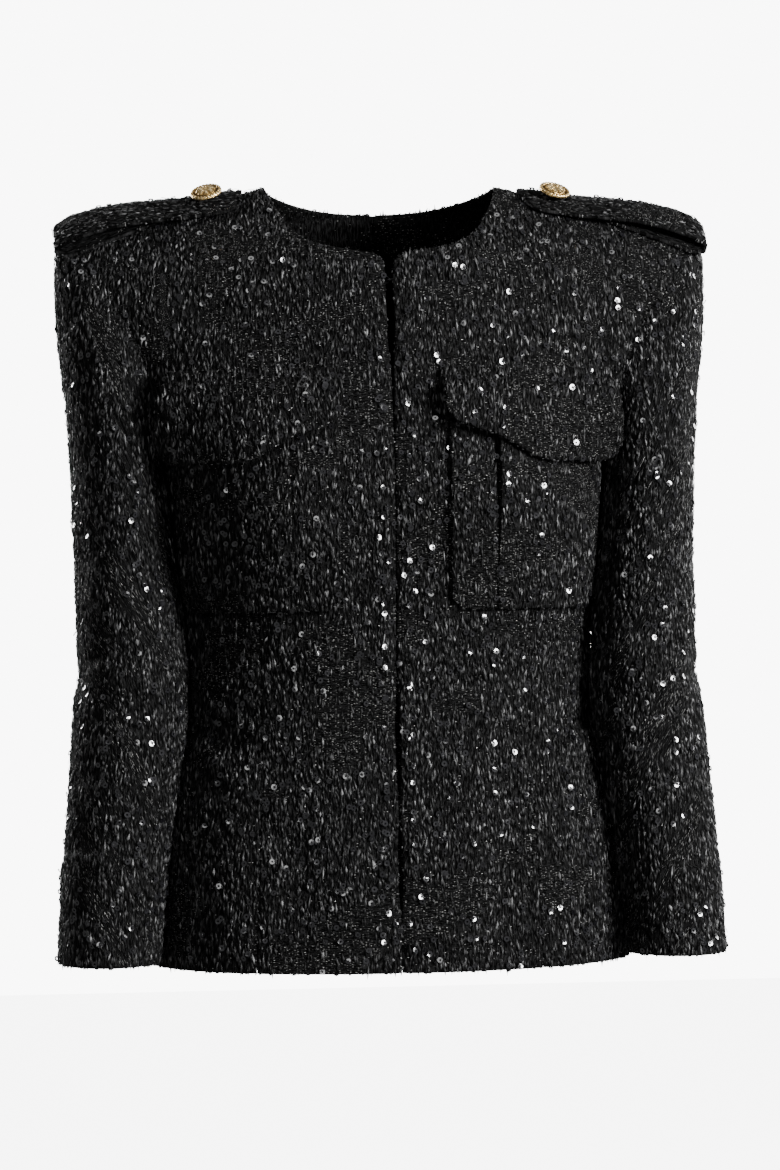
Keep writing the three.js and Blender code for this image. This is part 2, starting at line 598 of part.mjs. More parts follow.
function addFlaps() {
  const across = [0, 0.04, 0.15, 0.3, 0.43, 0.56, 0.62, 0.72, 0.82, 0.9, 0.96, 1];
  const flap = sheet(across.length, 7, (s, b, i) => {
    const a = across[i];
    const down = along(FLAP_EDGE, 'a', 'depth', a) * b;
    const spot = onFront(lerp(FLAP.inner, FLAP.outer, a), FLAP.top - down);
    const rise = FLAP.rise * ease(down / FLAP.riseOver);
    const outer = ease((a - FLAP.outerFrom) / (1 - FLAP.outerFrom)) * ease(b / FLAP.outerOver);
    const hang = (FLAP.edge - FLAP.rise) * b + FLAP.outerLift * outer;
    spot.point.addScaledVector(spot.normal, FLAP.off + WALL + rise + hang);
    return spot;
  });
  addPair('flap', flap, CLOTH);
}

// The ends of the rows on the top of the armhole, and how far inside it a place is looked for.
const TIP_ROWS = { front: FRONT_ROWS.slice(7), back: BACK_ROWS.slice(6) };
const TIP_INSIDE = 1.5;

// The top of the shoulder at x and y, carried on past the armhole over the sleeve head.
function shoulderTop(x, y) {
  const [seam, slope] = [FRONT_ROWS[FRONT_ROWS.length - 1], SHOULDER_UP];
  const reach = (place) => (place - seam.x) / (seam.ax - seam.x);
  const which = y < lerp(seam.y, seam.ay, reach(x)) - SEAM ? 'front' : 'back';
  const edgeX = along(TIP_ROWS[which], 'ay', 'ax', y) - TIP_INSIDE;
  const safeX = Math.min(x, edgeX);
  const start = [reach(safeX), SHOULDER_V - Math.abs(y - SIDE_Y)];
  const spot = findOn(which, { x: safeX, y }, start);
  const beyond = x - safeX;
  spot.point.add(new V3(beyond, 0, (-slope.x / slope.z) * beyond));
  return spot;
}

function addEpaulettes() {
  const rows = EPAULETTE_PATH.length;
  const lineY = (x) => along(EPAULETTE_LINE, 'x', 'y', x);
  const middle = EPAULETTE_PATH.map(({ x, lift }) => shoulderTop(x, lineY(x)).point
    .addScaledVector(SHOULDER_UP, lift));
  const strap = sheet(7, rows, (a, b, i, j) => {
    const { x, lift, half } = EPAULETTE_PATH[j];
    const spot = shoulderTop(x, lineY(x) + half * (2 * a - 1));
    const before = middle[Math.max(0, j - 1)];
    const after = middle[Math.min(rows - 1, j + 1)];
    const heading = after.clone().sub(before).normalize();
    const facing = new V3(0, 1, 0).cross(heading).negate();
    spot.point.addScaledVector(SHOULDER_UP, lift);
    return { point: spot.point, normal: facing, wall: EPAULETTE_WALL };
  });
  addPair('epaulette', strap, CLOTH);
}

function addButtons() {
  const profile = BUTTON_PROFILE.map(({ r, z }) => new THREE.Vector2(r, z));
  const button = new THREE.LatheGeometry(profile, BUTTON.sides);
  button.rotateX(Math.PI / 2);
  const { point, normal } = shoulderTop(BUTTON.x, BUTTON.y);
  const upper = EPAULETTE_PATH.slice(0, 9);
  const seat = point.addScaledVector(SHOULDER_UP, along(upper, 'x', 'lift', BUTTON.x));
  seat.addScaledVector(normal, BUTTON.off + BUTTON.stand);
  button.applyQuaternion(new THREE.Quaternion().setFromUnitVectors(new V3(0, 0, 1), normal));
  button.translate(seat.x, seat.y, seat.z);
  addPair('button', button, GOLD);
}

// A wire along a smooth path.
function wire(rows) {
  const points = rows.map(({ x, y, z }) => new V3(x, y, z));
  const path = new THREE.CatmullRomCurve3(points, false, 'catmullrom', HOOK.bend);
  const section = new THREE.Shape();
  for (let k = 0; k < HOOK.sides; k += 1) {
    const angle = (2 * k * Math.PI) / HOOK.sides;
    const [x, y] = [HOOK.wire * Math.cos(angle), HOOK.wire * Math.sin(angle)];
    if (k === 0) section.moveTo(x, y);
    else section.lineTo(x, y);
  }
  section.closePath();
  return new THREE.ExtrudeGeometry(section, { steps: 2 * points.length - 3, extrudePath: path,
    bevelEnabled: false });
}

function addHooks() {
  const wires = [['hook', HOOK_PATH], ['eye', EYE_PATH]];
  HOOK_Z.forEach((z, k) => {
    const y = onFront(HOOK.reach, z).point.y + WALL + 2 * HOOK.wire + SEAM;
    wires.forEach(([name, path]) => {
      const geometry = wire(path);
      geometry.translate(0, y, z);
      addMesh(`${name}_${k + 1}`, geometry, BLACK_WIRE);
    });
  });
}

addBody();
addSleeves();
addPockets();
addFlaps();
addEpaulettes();
addButtons();
addHooks();

export default jacket;
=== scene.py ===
import math
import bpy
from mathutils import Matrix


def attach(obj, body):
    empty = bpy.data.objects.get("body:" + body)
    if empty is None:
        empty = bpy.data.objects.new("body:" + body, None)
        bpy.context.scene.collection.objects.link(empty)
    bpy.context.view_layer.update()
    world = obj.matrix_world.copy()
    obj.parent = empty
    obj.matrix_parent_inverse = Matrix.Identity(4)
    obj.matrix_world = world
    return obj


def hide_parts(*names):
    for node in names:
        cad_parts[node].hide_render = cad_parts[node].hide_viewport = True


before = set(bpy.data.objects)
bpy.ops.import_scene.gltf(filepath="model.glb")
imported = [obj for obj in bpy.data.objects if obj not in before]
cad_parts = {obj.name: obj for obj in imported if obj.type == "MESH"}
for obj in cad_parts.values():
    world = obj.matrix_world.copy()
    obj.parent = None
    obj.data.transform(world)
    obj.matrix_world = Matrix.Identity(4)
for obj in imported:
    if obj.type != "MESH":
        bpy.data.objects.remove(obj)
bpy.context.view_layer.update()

from types import SimpleNamespace as Sizes

import bpy
import numpy as np
from mathutils import Matrix, Vector

MM = 0.001
rng = np.random.default_rng(7)

# The jacket's own sizes in millimetres, as in its solids.
WALL = 2.0
SEAM = 0.3
ARMHOLE_SEAM = 1.05
HEM_Z = -538.0
CUFF_Z = -533.0
ARMPIT_V = 341.0
SHOULDER_V = 530.0
SIDE_Y = 5.0
SQUARENESS = 2.2
BICEP_Z = -215.0
SLEEVE_CLEAR = 1.8
FRONT_SEAM = 0.36
BACK_SEAM = 0.9
VENT = Sizes(length=60, lift=3.4, width=0.13, overlap=0.018, edge=0.02, rise=8)
CENTRE_END_V = {"front": 450, "back": 494.5}
PRINCESS_END_V = 424.0
# The shoulder seam: its start at the neck, its end's y, and its run and fall.
SHOULDER = Sizes(x=81, y=8, tip_y=4, run=137, fall=34)
# How far from the side, shoulder and centre the normals turn to those of the seam.
TURN = Sizes(side=0.9, side_over=0.1, above=12, rows=20, shoulder=10, centre=0.05)
# The sleeve head: its reach out of the armhole, low and high, and its fall to the arm.
HEAD = Sizes(low=14, high=58, span=1.6, fall=0.85, seam=0.12)
LEAVE = Sizes(x=(0.75, 0.425, 0.175), y=0.45, z=(-0.5, 0.365, 0.135))
SLEEVE_GIRTH = 260
SLEEVE_TRIM = 0.0034
PRESS = 6


def table(columns, *rows):
    """A table of floats with named columns."""
    return dict(zip(columns.split(), np.array(rows, float).T))


def rows_of(rows):
    return [dict(zip(rows, row)) for row in zip(*rows.values())]


# Rings from the hem to the armpit: half width, depths and half the front opening.
RINGS = table(
    "v half front back gap",
    (0, 169, 113, 112, 0.6),
    (38, 171, 112, 110, 1.0),
    (75, 168.5, 110, 104, 1.6),
    (108, 163, 107, 97, 0.5),
    (138, 153, 104, 90, 1.5),
    (163, 146, 102, 85, 1.7),
    (188, 143.5, 100.5, 83, 0.6),
    (218, 144, 102, 86, 0.3),
    (248, 146, 105, 91, 0.3),
    (288, 149.5, 110, 99, 0.3),
    (318, 152.5, 112, 105, 0.3),
)
# Rows above the armpit, from the centre or neckline x, y, z to the armhole ax, ay, az.
FRONT_ROWS = table(
    "v x y z ax ay az flat bow",
    (341, 0.3, -110, -195, 154, 5, -197, 0, 2),
    (366, 0.4, -106, -168, 156, -22, -187, 0.1, 2),
    (392, 0.8, -101, -140, 158, -44, -166, 0.25, 2),
    (418, 2.4, -93, -108, 161.5, -53, -141, 0.4, 2),
    (442, 2.5, -83, -76, 168.5, -54, -117, 0.5, 2),
    (450, 2.6, -80, -66, 172.8, -53.4, -108.5, 0.55, 1.9),
    (457, 5, -78.5, -57.5, 176.6, -52.4, -101.8, 0.6, 1.9),
    (463, 11, -77, -53.5, 180.3, -51.2, -95.5, 0.65, 1.8),
    (472, 28, -73, -50, 186.5, -49, -87, 0.7, 1.7),
    (482, 46, -66, -46, 194.5, -45, -75.5, 0.8, 1.6),
    (492, 61, -53.5, -37, 203, -39, -63, 0.85, 1.5),
    (502, 70.5, -40, -24, 210, -31, -51.5, 0.9, 1.4),
    (512, 77.5, -24, -10, 215.5, -21, -42, 0.95, 1.3),
    (521, 80.5, -8, -1.5, 217.5, -9, -36.5, 1, 1.1),
    (530, 81, 8, 0, 218, 4, -34, 1, 1),
)
BACK_ROWS = table(
    "v x y z ax ay az flat bow",
    (341, 0, 108, -197, 154, 5, -197, 0, 2),
    (366, 0, 111, -172, 157, 28, -187, 0.1, 2),
    (392, 0, 112, -146, 160, 46, -166, 0.25, 2),
    (418, 0, 111, -118, 164, 57, -142, 0.4, 2),
    (442, 0, 106, -90, 171, 61, -117, 0.5, 2),
    (460, 0, 98, -66, 179, 60, -98, 0.6, 2),
    (475, 0, 87, -44, 188, 56, -83, 0.7, 1.9),
    (486, 0, 74, -26, 197, 50, -71, 0.8, 1.8),
    (494, 0, 62.5, -14, 204, 43, -61, 0.85, 1.7),
    (500, 18, 61, -13, 208.5, 38, -54.5, 0.9, 1.6),
    (507, 37, 56, -11.5, 212, 32, -48, 0.9, 1.5),
    (514, 55, 46, -8.5, 214.7, 25, -42.5, 0.95, 1.4),
    (520, 69, 33, -5, 216.5, 18, -38.5, 1, 1.2),
    (525, 77.5, 20, -2, 217.5, 11, -35.5, 1, 1.1),
    (530, 81, 8, 0, 218, 4, -34, 1, 1),
)
PRINCESS = table("v x", (0, 97), (188, 91), (288, 93), (341, 100), (380, 119), (418, 150))
# Soft swells of the cut and the creases of wear: place, half widths, turn and height.
FRONT_FOLDS = table(
    "x z long wide turn height",
    (84, -228, 46, 56, 0, 8),
    (132, -372, 46, 7, 28, -4),
    (120, -398, 52, 9, 38, 3.5),
    (60, -345, 40, 10, 12, -2),
    (118, -322, 30, 5, 10, -2.2),
    (134, -340, 24, 4.5, 18, 1.8),
    (140, -176, 26, 6, -52, -2.4),
    (70, -468, 58, 13, 87, -2.6),
    (112, -478, 52, 11, 95, 2.3),
    (34, -486, 46, 11, 84, 1.5),
    (92, -430, 34, 7, 60, -1.8),
    (24, -250, 34, 9, 80, -1.2),
    (110, -100, 40, 9, 30, -1.6),
)
BACK_FOLDS = table(
    "x z long wide turn height",
    (80, -130, 60, 50, 0, 6),
    (110, -352, 60, 9, 16, -4),
    (96, -380, 55, 10, 22, 3.5),
    (40, -332, 40, 8, 5, -2.5),
    (118, -205, 34, 7, 58, -3),
    (62, -296, 46, 6, 10, -2.2),
    (88, -312, 40, 6, 18, 2),
    (30, -468, 56, 12, 88, -2.2),
    (88, -482, 54, 12, 94, 2.4),
    (128, -460, 40, 9, 82, -2),
    (104, -118, 38, 9, -54, 1.8),
    (42, -70, 36, 8, 12, -1.4),
)
SLEEVE_RINGS = table(
    "z inner outer front back",
    (-215, 147, 217, -67, 62),
    (-260, 142, 216, -69, 50),
    (-300, 138, 215, -72, 38),
    (-340, 136.5, 214.5, -76, 28),
    (-375, 139, 218.5, -80, 19),
    (-415, 144.5, 221.5, -84, 10),
    (-455, 150.5, 224.5, -87, 3),
    (-500, 156.5, 227, -89, -3),
    (CUFF_Z, 160, 228.5, -90, -5),
)
SLEEVE_FOLDS = table(
    "round z wide tall turn height",
    (0.22, -318, 0.13, 8, 0.35, -3.2),
    (0.2, -342, 0.15, 8, -0.25, 2.4),
    (0.27, -362, 0.12, 7, 0.3, -2.8),
    (0.12, -250, 0.1, 16, 0.6, -2.2),
    (0.7, -300, 0.14, 9, -0.4, -3),
    (0.66, -335, 0.12, 8, 0.3, 2.2),
    (0.3, -386, 0.1, 6, -0.35, 2),
    (0.17, -402, 0.11, 7, 0.4, -2.2),
    (0.04, -340, 0.1, 9, -0.5, -2),
    (0.94, -362, 0.1, 10, 0.35, 1.8),
    (0.13, -448, 0.12, 10, 0.35, -1.8),
    (0.3, -478, 0.1, 9, -0.3, 1.5),
    (0.82, -306, 0.1, 7, 0.5, -2.2),
    (0.6, -255, 0.12, 10, 0.3, -2),
    (0.76, -420, 0.12, 9, -0.4, -2),
    (0.9, -470, 0.1, 11, 0.4, 1.6),
    (0.24, -196, 0.07, 9, 0.8, -2.2),
    (0.02, -150, 0.08, 18, 0.4, -1.4),
)
POCKET = Sizes(
    top=-152, bottom=-295, inner=38, outer=147, outer_low=139, off=1.35,
    pleat_from=0.3, pleat_to=0.68, open_height=3.8, sewn_height=1.0,
    outer_height=2.2, outer_low_height=0.8, outer_share=0.85, overlap=0.034,
    sewn_from=0.36, sewn_over=0.34, sewn_back=0.8, ditch=0.8, corner=6,
    corner_width=0.08, corner_share=0.1, wall=1.6,
)
FLAP = Sizes(
    top=-134, inner=34, outer=149, off=0.8, rise=7.2, rise_over=17,
    edge=9, outer_lift=4, outer_from=0.7, outer_over=0.3, wall=2.6,
)
FLAP_EDGE = table(
    "a depth",
    (0, 27), (0.04, 35), (0.3, 46), (0.56, 61), (0.62, 62), (0.8, 56), (0.96, 51), (1, 42),
)
EPAULETTE_PATH = table(
    "x lift half",
    (97, 2.7, 9), (100, 3.0, 15), (106, 4.0, 19.5), (118, 5.5, 21), (136, 7.4, 22),
    (156, 10.6, 23), (176, 13.6, 24), (194, 14.8, 25), (208, 14.4, 25.5), (218, 12.4, 26),
    (224.4, 8.6, 26), (224, 4.3, 26), (217, 1.9, 26), (208, 1.5, 25), (192, 1.5, 23),
    (172, 1.5, 20), (156, 1.5, 16), (150, 1.5, 11),
)
EPAULETTE_LINE = table("x y", (97, -12), (223, -5))
EPAULETTE_WALL = 2.4
# The button's relief: two rounds of petals, the boss and the ditch inside the rope rim.
RELIEF = table(
    "lobes turn power radius half height",
    (4, 0, 0.7, 5, 2.3, 1), (4, 0.5, 0.9, 2.9, 1.2, 0.8), (0, 0, 1, 0, 1.25, 0.9),
    (0, 0, 1, 8.1, 0.5, -0.8),
)
STRAP_TOP = 9  # rows of the path on the strap's upper side
BUTTON = Sizes(
    x=119, y=-17, off=0.5, stand=2.8, radius=11, turns=160, field=8.6,
    dome=3.9, dome_half=9.4, dome_fall=0.42, relief=1.3, rim=1.5, rope=9.7, rope_half=1.3,
    strands=26,
)

# The photograph's camera.
PHOTO_SIZE = (780, 1170)
CAMERA = Sizes(
    distance=2.5, turn=4.5, roll=0.8, height=-0.279, mm_a_pixel=0.70,
    centre_x=0.004,
)


def ease(t):
    t = np.clip(t, 0, 1)
    return t * t * (3 - 2 * t)


def bell(t):
    return np.exp(-t * t)


def mix(a, b, t):
    return a + (b - a) * t


def unit(vectors):
    return vectors / np.maximum(np.linalg.norm(vectors, axis=-1, keepdims=True), 1e-12)


def arrays(a, b):
    return np.broadcast_arrays(np.asarray(a, float), np.asarray(b, float))


def length_of(vectors):
    return np.linalg.norm(vectors, axis=-1)


def curve(a, slope_a, b, slope_b, t):
    """The smooth curve from a to b with the given slopes at its ends."""
    rest = (1 - t) ** 2
    return (
        a * (1 + 2 * t) * rest + slope_a * t * rest + b * t * t * (3 - 2 * t)
        - slope_b * t * t * (1 - t)
    )


def row_places(*steps):
    """Places from a to b in n even steps, for each stretch in turn."""
    parts = [np.linspace(a, b, n + 1)[:-1] for a, b, n in steps]
    return np.concatenate([*parts, [steps[-1][1]]])


def along(rows, at, key, place):
    """A smooth value between the rows of a table, without overshoot."""
    xs, ys = rows[at], rows[key]
    if xs[-1] < xs[0]:
        xs, ys = xs[::-1], ys[::-1]
    secants = np.diff(ys) / np.diff(xs)
    slopes = np.empty(len(xs))
    slopes[0], slopes[-1] = secants[0], secants[-1]
    before, after = secants[:-1], secants[1:]
    total = np.where(before + after == 0, 1, before + after)
    slopes[1:-1] = np.where(before * after <= 0, 0, 2 * before * after / total)
    place = np.clip(place, xs[0], xs[-1])
    i = np.clip(np.searchsorted(xs, place, side="right") - 1, 0, len(xs) - 2)
    span = xs[i + 1] - xs[i]
    t = (place - xs[i]) / span
    return curve(ys[i], slopes[i] * span, ys[i + 1], slopes[i + 1] * span, t)


def body_rows(which, upper):
    ring = RINGS
    n = len(ring["v"])
    lower = {
        "v": ring["v"],
        "x": ring["gap"] if which == "front" else np.zeros(n),
        "y": -ring["front"] if which == "front" else ring["back"],
        "z": HEM_Z + ring["v"],
        "ax": ring["half"],
        "ay": np.full(n, SIDE_Y),
        "az": HEM_Z + ring["v"],
        "flat": np.zeros(n),
        "bow": np.full(n, 2.0),
    }
    return {key: np.concatenate([lower[key], upper[key]]) for key in upper}


ROWS = {"front": body_rows("front", FRONT_ROWS), "back": body_rows("back", BACK_ROWS)}
SHOULDER_UP = np.array([SHOULDER.fall, 0, SHOULDER.run])
SHOULDER_UP = SHOULDER_UP / math.hypot(SHOULDER.fall, SHOULDER.run)


def plain_body(which, u, v):
    """The body without folds: u from the centre or neck to the side, v up from the hem."""
    u, v = arrays(u, v)
    row = {key: along(ROWS[which], "v", key, v) for key in ROWS[which] if key != "v"}
    inside = np.clip(u, 0, 1)
    angle = inside * math.pi / 2
    across = mix(np.sin(angle) ** (2 / SQUARENESS), u, row["flat"])
    bow = inside ** row["bow"]
    deep = mix(1 - np.maximum(np.cos(angle), 0) ** (2 / SQUARENESS), bow, row["flat"])
    upward = mix(across, u, row["flat"])
    ends = (("x", across), ("y", deep), ("z", upward))
    return np.stack([mix(row[key], row["a" + key], share) for key, share in ends], axis=-1)


def fold_height(folds, x, z):
    height = np.zeros_like(x)
    for fold in rows_of(folds):
        turn = math.radians(fold["turn"])
        dx, dz = x - fold["x"], z - fold["z"]
        lengthwise = dx * math.cos(turn) + dz * math.sin(turn)
        crosswise = dz * math.cos(turn) - dx * math.sin(turn)
        shape = bell(lengthwise / fold["long"]) * bell(crosswise / fold["wide"])
        height += fold["height"] * shape
    return height


def normals_of(surface, u, v, du, dv, flip=1):
    across = surface(u + du, v) - surface(u - du, v)
    up = surface(u, v + dv) - surface(u, v - dv)
    return unit(np.cross(across, up) * flip)


def body(which, u, v):
    """The body's outer points with their folds, and the normals there."""
    u, v = arrays(u, v)
    plain = plain_body(which, u, v)
    normal = normals_of(
        lambda a, b: plain_body(which, a, b),
        np.clip(u, 0.002, 0.998), np.clip(v, 1, SHOULDER_V - 1), 0.002, 1,
        -1 if which == "back" else 1,
    )
    t = TURN
    side = ease((u - t.side) / t.side_over) * ease((ARMPIT_V + t.above - v) / t.rows)
    shoulder = ease((v - SHOULDER_V + t.shoulder) / t.shoulder)
    centre = (1 - ease(u / t.centre)) * (v < CENTRE_END_V[which])
    normal = mix(normal, np.array([1.0, 0, 0]), side[..., None])
    normal = mix(normal, SHOULDER_UP, shoulder[..., None])
    normal[..., 0] *= 1 - centre
    normal = unit(normal)
    folds = FRONT_FOLDS if which == "front" else BACK_FOLDS
    height = fold_height(folds, plain[..., 0], plain[..., 2]) * (1 - shoulder) * (1 - side)
    return plain + normal * height[..., None], normal


def u_at_x(which, v, x):
    """Where a body row reaches x, found by halving."""
    low, high = np.zeros_like(v), np.ones_like(v)
    for _ in range(40):
        mid = (low + high) / 2
        less = plain_body(which, mid, v)[..., 0] < x
        low, high = np.where(less, mid, low), np.where(less, high, mid)
    return (low + high) / 2


def find_on(which, axes, wanted, u, v):
    """The body's points with two wanted coordinates, found by Newton steps."""
    a, b = axes
    u, v = np.array(u, float), np.array(v, float)
    steps, du, dv, share, most_u, most_v = 16, 0.001, -0.1, 0.9, 0.1, 30

    def miss(p, q):
        point = body(which, np.clip(p, 0, 1), np.clip(q, 0, SHOULDER_V))[0]
        return point[..., a] - wanted[0], point[..., b] - wanted[1]

    for _ in range(steps):
        m0, m1 = miss(u, v)
        a0, a1 = [(m - o) / du for m, o in zip(miss(u + du, v), (m0, m1))]
        b0, b1 = [(m - o) / dv for m, o in zip(miss(u, v + dv), (m0, m1))]
        det = a0 * b1 - a1 * b0
        det = np.where(np.abs(det) < 1e-9, 1e-9, det)
        step_u = np.clip((m0 * b1 - m1 * b0) / det, -most_u, most_u)
        step_v = np.clip((a0 * m1 - a1 * m0) / det, -most_v, most_v)
        u = np.clip(u - share * step_u, 0, 1)
        v = np.clip(v - share * step_v, 0, SHOULDER_V)
    return body(which, u, v)


def body_x(z, y):
    """How far the body reaches out at a height and depth, so that sleeves stay clear of it."""
    v = np.clip(z - HEM_Z, 0, ARMPIT_V)
    half = along(ROWS["front"], "v", "ax", v)
    front = np.abs(along(ROWS["front"], "v", "y", v) - SIDE_Y)
    back = np.abs(along(ROWS["back"], "v", "y", v) - SIDE_Y)
    share = np.clip(np.abs(y - SIDE_Y) / np.where(y < SIDE_Y, front, back), 0, 1)
    return half * (1 - share**SQUARENESS) ** (1 / SQUARENESS)


def armhole(rounds):
    """Points and normals round the armhole: 0 at the shoulder, 0.5 at the armpit."""
    turn = np.mod(rounds, 1)
    v = SHOULDER_V - (SHOULDER_V - ARMPIT_V) * (1 - np.abs(1 - 2 * turn))
    both = [body(which, np.ones_like(v), v) for which in ROWS]
    first = (turn <= 0.5)[..., None]
    return tuple(np.where(first, *pair) for pair in zip(*both))


def sleeve_ring(rounds, z):
    ring = {key: along(SLEEVE_RINGS, "z", key, z) for key in SLEEVE_RINGS if key != "z"}
    angle = 2 * math.pi * rounds
    x = mix(ring["inner"], ring["outer"], (1 + np.cos(angle)) / 2)
    y = mix(ring["front"], ring["back"], (1 - np.sin(angle)) / 2)
    least = body_x(z, y) + SLEEVE_CLEAR
    pressed = least + PRESS * np.exp(np.minimum(x - least - PRESS, 0) / PRESS)
    x = np.where(x < least + PRESS, pressed, x)
    return np.stack([x, y, z], axis=-1)


def plain_sleeve(rounds, down):
    """The sleeve without folds: down goes from the armhole to the arm at 1 and the cuff at 2."""
    rounds, down = arrays(rounds, down)
    low = sleeve_ring(rounds, mix(BICEP_Z, CUFF_Z, np.maximum(down, 1) - 1))
    high, side = np.cos(2 * math.pi * rounds), np.sin(2 * math.pi * rounds)
    x, z = [a + b * high - c * high**2 for a, b, c in (LEAVE.x, LEAVE.z)]
    leave = unit(np.stack([x, -LEAVE.y * side, z], axis=-1))
    start = armhole(rounds)[0] + leave * ARMHOLE_SEAM
    end = sleeve_ring(rounds, np.full_like(down, BICEP_Z))
    reach = mix(HEAD.low, HEAD.high, ease((high + 1) / HEAD.span))[..., None]
    t = np.clip(down, 0, 1)[..., None]
    fall = HEAD.fall * length_of(start - end)[..., None]
    head = curve(start, leave * reach, end, np.array([0, 0, -1.0]) * fall, t)
    return np.where((down >= 1)[..., None], low, head)


def sleeve(rounds, down):
    """The sleeve's outer points with their folds, and the normals there."""
    rounds, down = arrays(rounds, down)
    point = plain_sleeve(rounds, down)
    normal = normals_of(plain_sleeve, rounds, np.clip(down, 0.02, 1.99), 0.004, 0.01)
    share = 1 - ease(down / HEAD.seam)
    high = ease((np.cos(2 * math.pi * rounds) + 0.75) / 0.9)
    normal = unit(mix(normal, armhole(rounds)[1], (share * high)[..., None]))
    height = np.zeros_like(down)
    for fold in rows_of(SLEEVE_FOLDS):
        aside = np.mod(rounds - fold["round"] + 0.5, 1) - 0.5
        drop = point[..., 2] - fold["z"] - fold["turn"] * aside * SLEEVE_GIRTH
        height += fold["height"] * bell(aside / fold["wide"]) * bell(drop / fold["tall"])
    return point + normal * height[..., None], normal


def princess_u(v):
    """The princess seam's place on the body's rows."""
    v = np.asarray(v, float)
    last = PRINCESS["v"][-1]
    at = np.minimum(v, last)
    on_seam = u_at_x("front", at, along(PRINCESS, "v", "x", at))
    return mix(on_seam, 1, np.clip((v - last) / (PRINCESS_END_V - last), 0, 1))


def on_front(x, z):
    """The front's points and normals at x and z."""
    start_v = np.clip(z - HEM_Z + 20, 10, 440)
    return find_on("front", (0, 2), (x, z), np.full_like(x, 0.4), start_v)


# Grids of outer points and normals for each cloth piece of the wearer's left.
def inset(which, u, v, trim, other):
    """The place a given distance from u along a body row, towards the other end."""
    if np.all(trim == 0):
        return u
    if np.all(u == 0):
        return u_at_x(which, v, plain_body(which, u, v)[..., 0] + trim)
    heading = np.sign(other - u)
    step = 0.002
    ahead = plain_body(which, u + heading * step, v)
    speed = length_of(plain_body(which, u, v) - ahead)
    return u + heading * np.minimum(trim * step / np.maximum(speed, 1e-6), np.abs(other - u) / 3)


def body_grid(which, v, first, last, columns, trim_first, trim_last, trim_top):
    """A panel between two seams, kept back from both and from the shoulder seam."""
    a = np.linspace(0, 1, columns)[None, :]
    rows = np.minimum(v, SHOULDER_V - trim_top)
    f, l = first(v), last(v)
    at_side = (l == 1) & (v <= ARMPIT_V)
    start = inset(which, f, rows, trim_first, l)
    stop = np.where((l < 1) | at_side, inset(which, l, rows, trim_last, f), l)
    u = mix(start[:, None], stop[:, None], a)
    return body(which, u, np.broadcast_to(rows[:, None], u.shape))


def sleeve_grid(columns, start, stop, upper):
    """A sleeve panel. The upper one laps over the under one at its vent."""
    down = row_places((0, 1, 39), (1, 1.78, 49), (1.78, 2, 23))[:, None]
    a = np.linspace(0, 1, columns)[None, :]
    z = mix(BICEP_Z, CUFF_Z, down - 1)
    if not upper:
        return sleeve(mix(start, stop, a), down)
    vent_z = CUFF_Z + VENT.length
    opening = np.where(down > 1, ease((vent_z + VENT.rise - z) / VENT.rise), 0)
    past = np.where((down > 1) & (z < vent_z), VENT.overlap, 0)
    rounds = mix(start - past, stop, a)
    point, normal = sleeve(rounds, down)
    near = 1 - ease((rounds - start - VENT.edge) / VENT.width)
    return point + normal * (VENT.lift * opening * near)[..., None], normal


# The pleat's inner fold, column by column: its place in parts of the pocket's width and of
# the overlap, its share of the pleat's height, and the ditch beside it.
PLEAT_FOLD = table(
    "offset laps share ditch",
    (-0.02, 0, 0, 0.6), (0, 0, 0, 1), (0, 1, 0, 0.6), (0, 1, 0.2, 0.2),
    (0, 0.5, 0.5, 0), (0, 0, 0.78, 0), (-0.006, 0, 0.92, 0), (0, 0, 1, 0),
)


def pocket_grid():
    """The pocket, whose box pleat folds over at its inner edge and is sewn flat lower down."""
    p, fold = POCKET, PLEAT_FOLD
    low, high, lap = p.pleat_from, p.pleat_to, p.overlap
    plain = np.linspace(0, low - 0.04, 14)
    pleat = np.linspace(low + 0.03, high - 0.02, 20)
    rest = np.concatenate([[high - 0.008, high], np.linspace(high + 0.03, 1, 15)])
    a = np.concatenate([plain, low + fold["offset"] + fold["laps"] * lap, pleat, rest])
    share, ditch, laps = (
        np.concatenate([0 * plain, fold[key], 0 * pleat + on_pleat, 0 * rest])
        for key, on_pleat in (("share", 1), ("ditch", 0), ("laps", 0))
    )
    share[-len(rest)] = p.outer_share
    b = np.linspace(0, 1, 48)[:, None]
    sewn = ease((b - p.sewn_from) / p.sewn_over)
    inner_height = mix(p.open_height, p.sewn_height, sewn)
    outer_height = mix(p.outer_height, p.outer_low_height, ease((b - 0.5) / 0.4))
    height = mix(inner_height, outer_height, np.clip((a - low) / (high - low), 0, 1)) * share
    a = a - laps * lap * p.sewn_back * sewn
    near_side = 1 - ease(np.minimum(a, 1 - a) / p.corner_width)
    corner = p.corner * near_side * ease((b - 0.9) / p.corner_share)
    z = mix(p.top, p.bottom, b) + corner
    x = mix(p.inner + 0 * b, mix(p.outer, p.outer_low, b), a)
    point, normal = on_front(x, z)
    rise = p.off + WALL + height - p.ditch * ditch * (1 - sewn)
    return point + normal * rise[..., None], normal


def flap_grid():
    """The pointed flap, which rises off the front and hangs over the pocket."""
    f = FLAP
    a = np.concatenate([[0, 0.015, 0.04], np.linspace(0.06, 0.95, 44), [0.97, 0.985, 1]])
    a, b = a[None, :], np.linspace(0, 1, 22)[:, None]
    down = along(FLAP_EDGE, "a", "depth", a) * b
    point, normal = on_front(mix(f.inner, f.outer, a) + 0 * b, f.top - down)
    rise = f.rise * ease(down / f.rise_over)
    hang = (f.edge - f.rise) * b
    outer = ease((a - f.outer_from) / f.outer_over)
    hang = hang + f.outer_lift * outer * ease(b / f.outer_over)
    return point + normal * (f.off + WALL + rise + hang)[..., None], normal


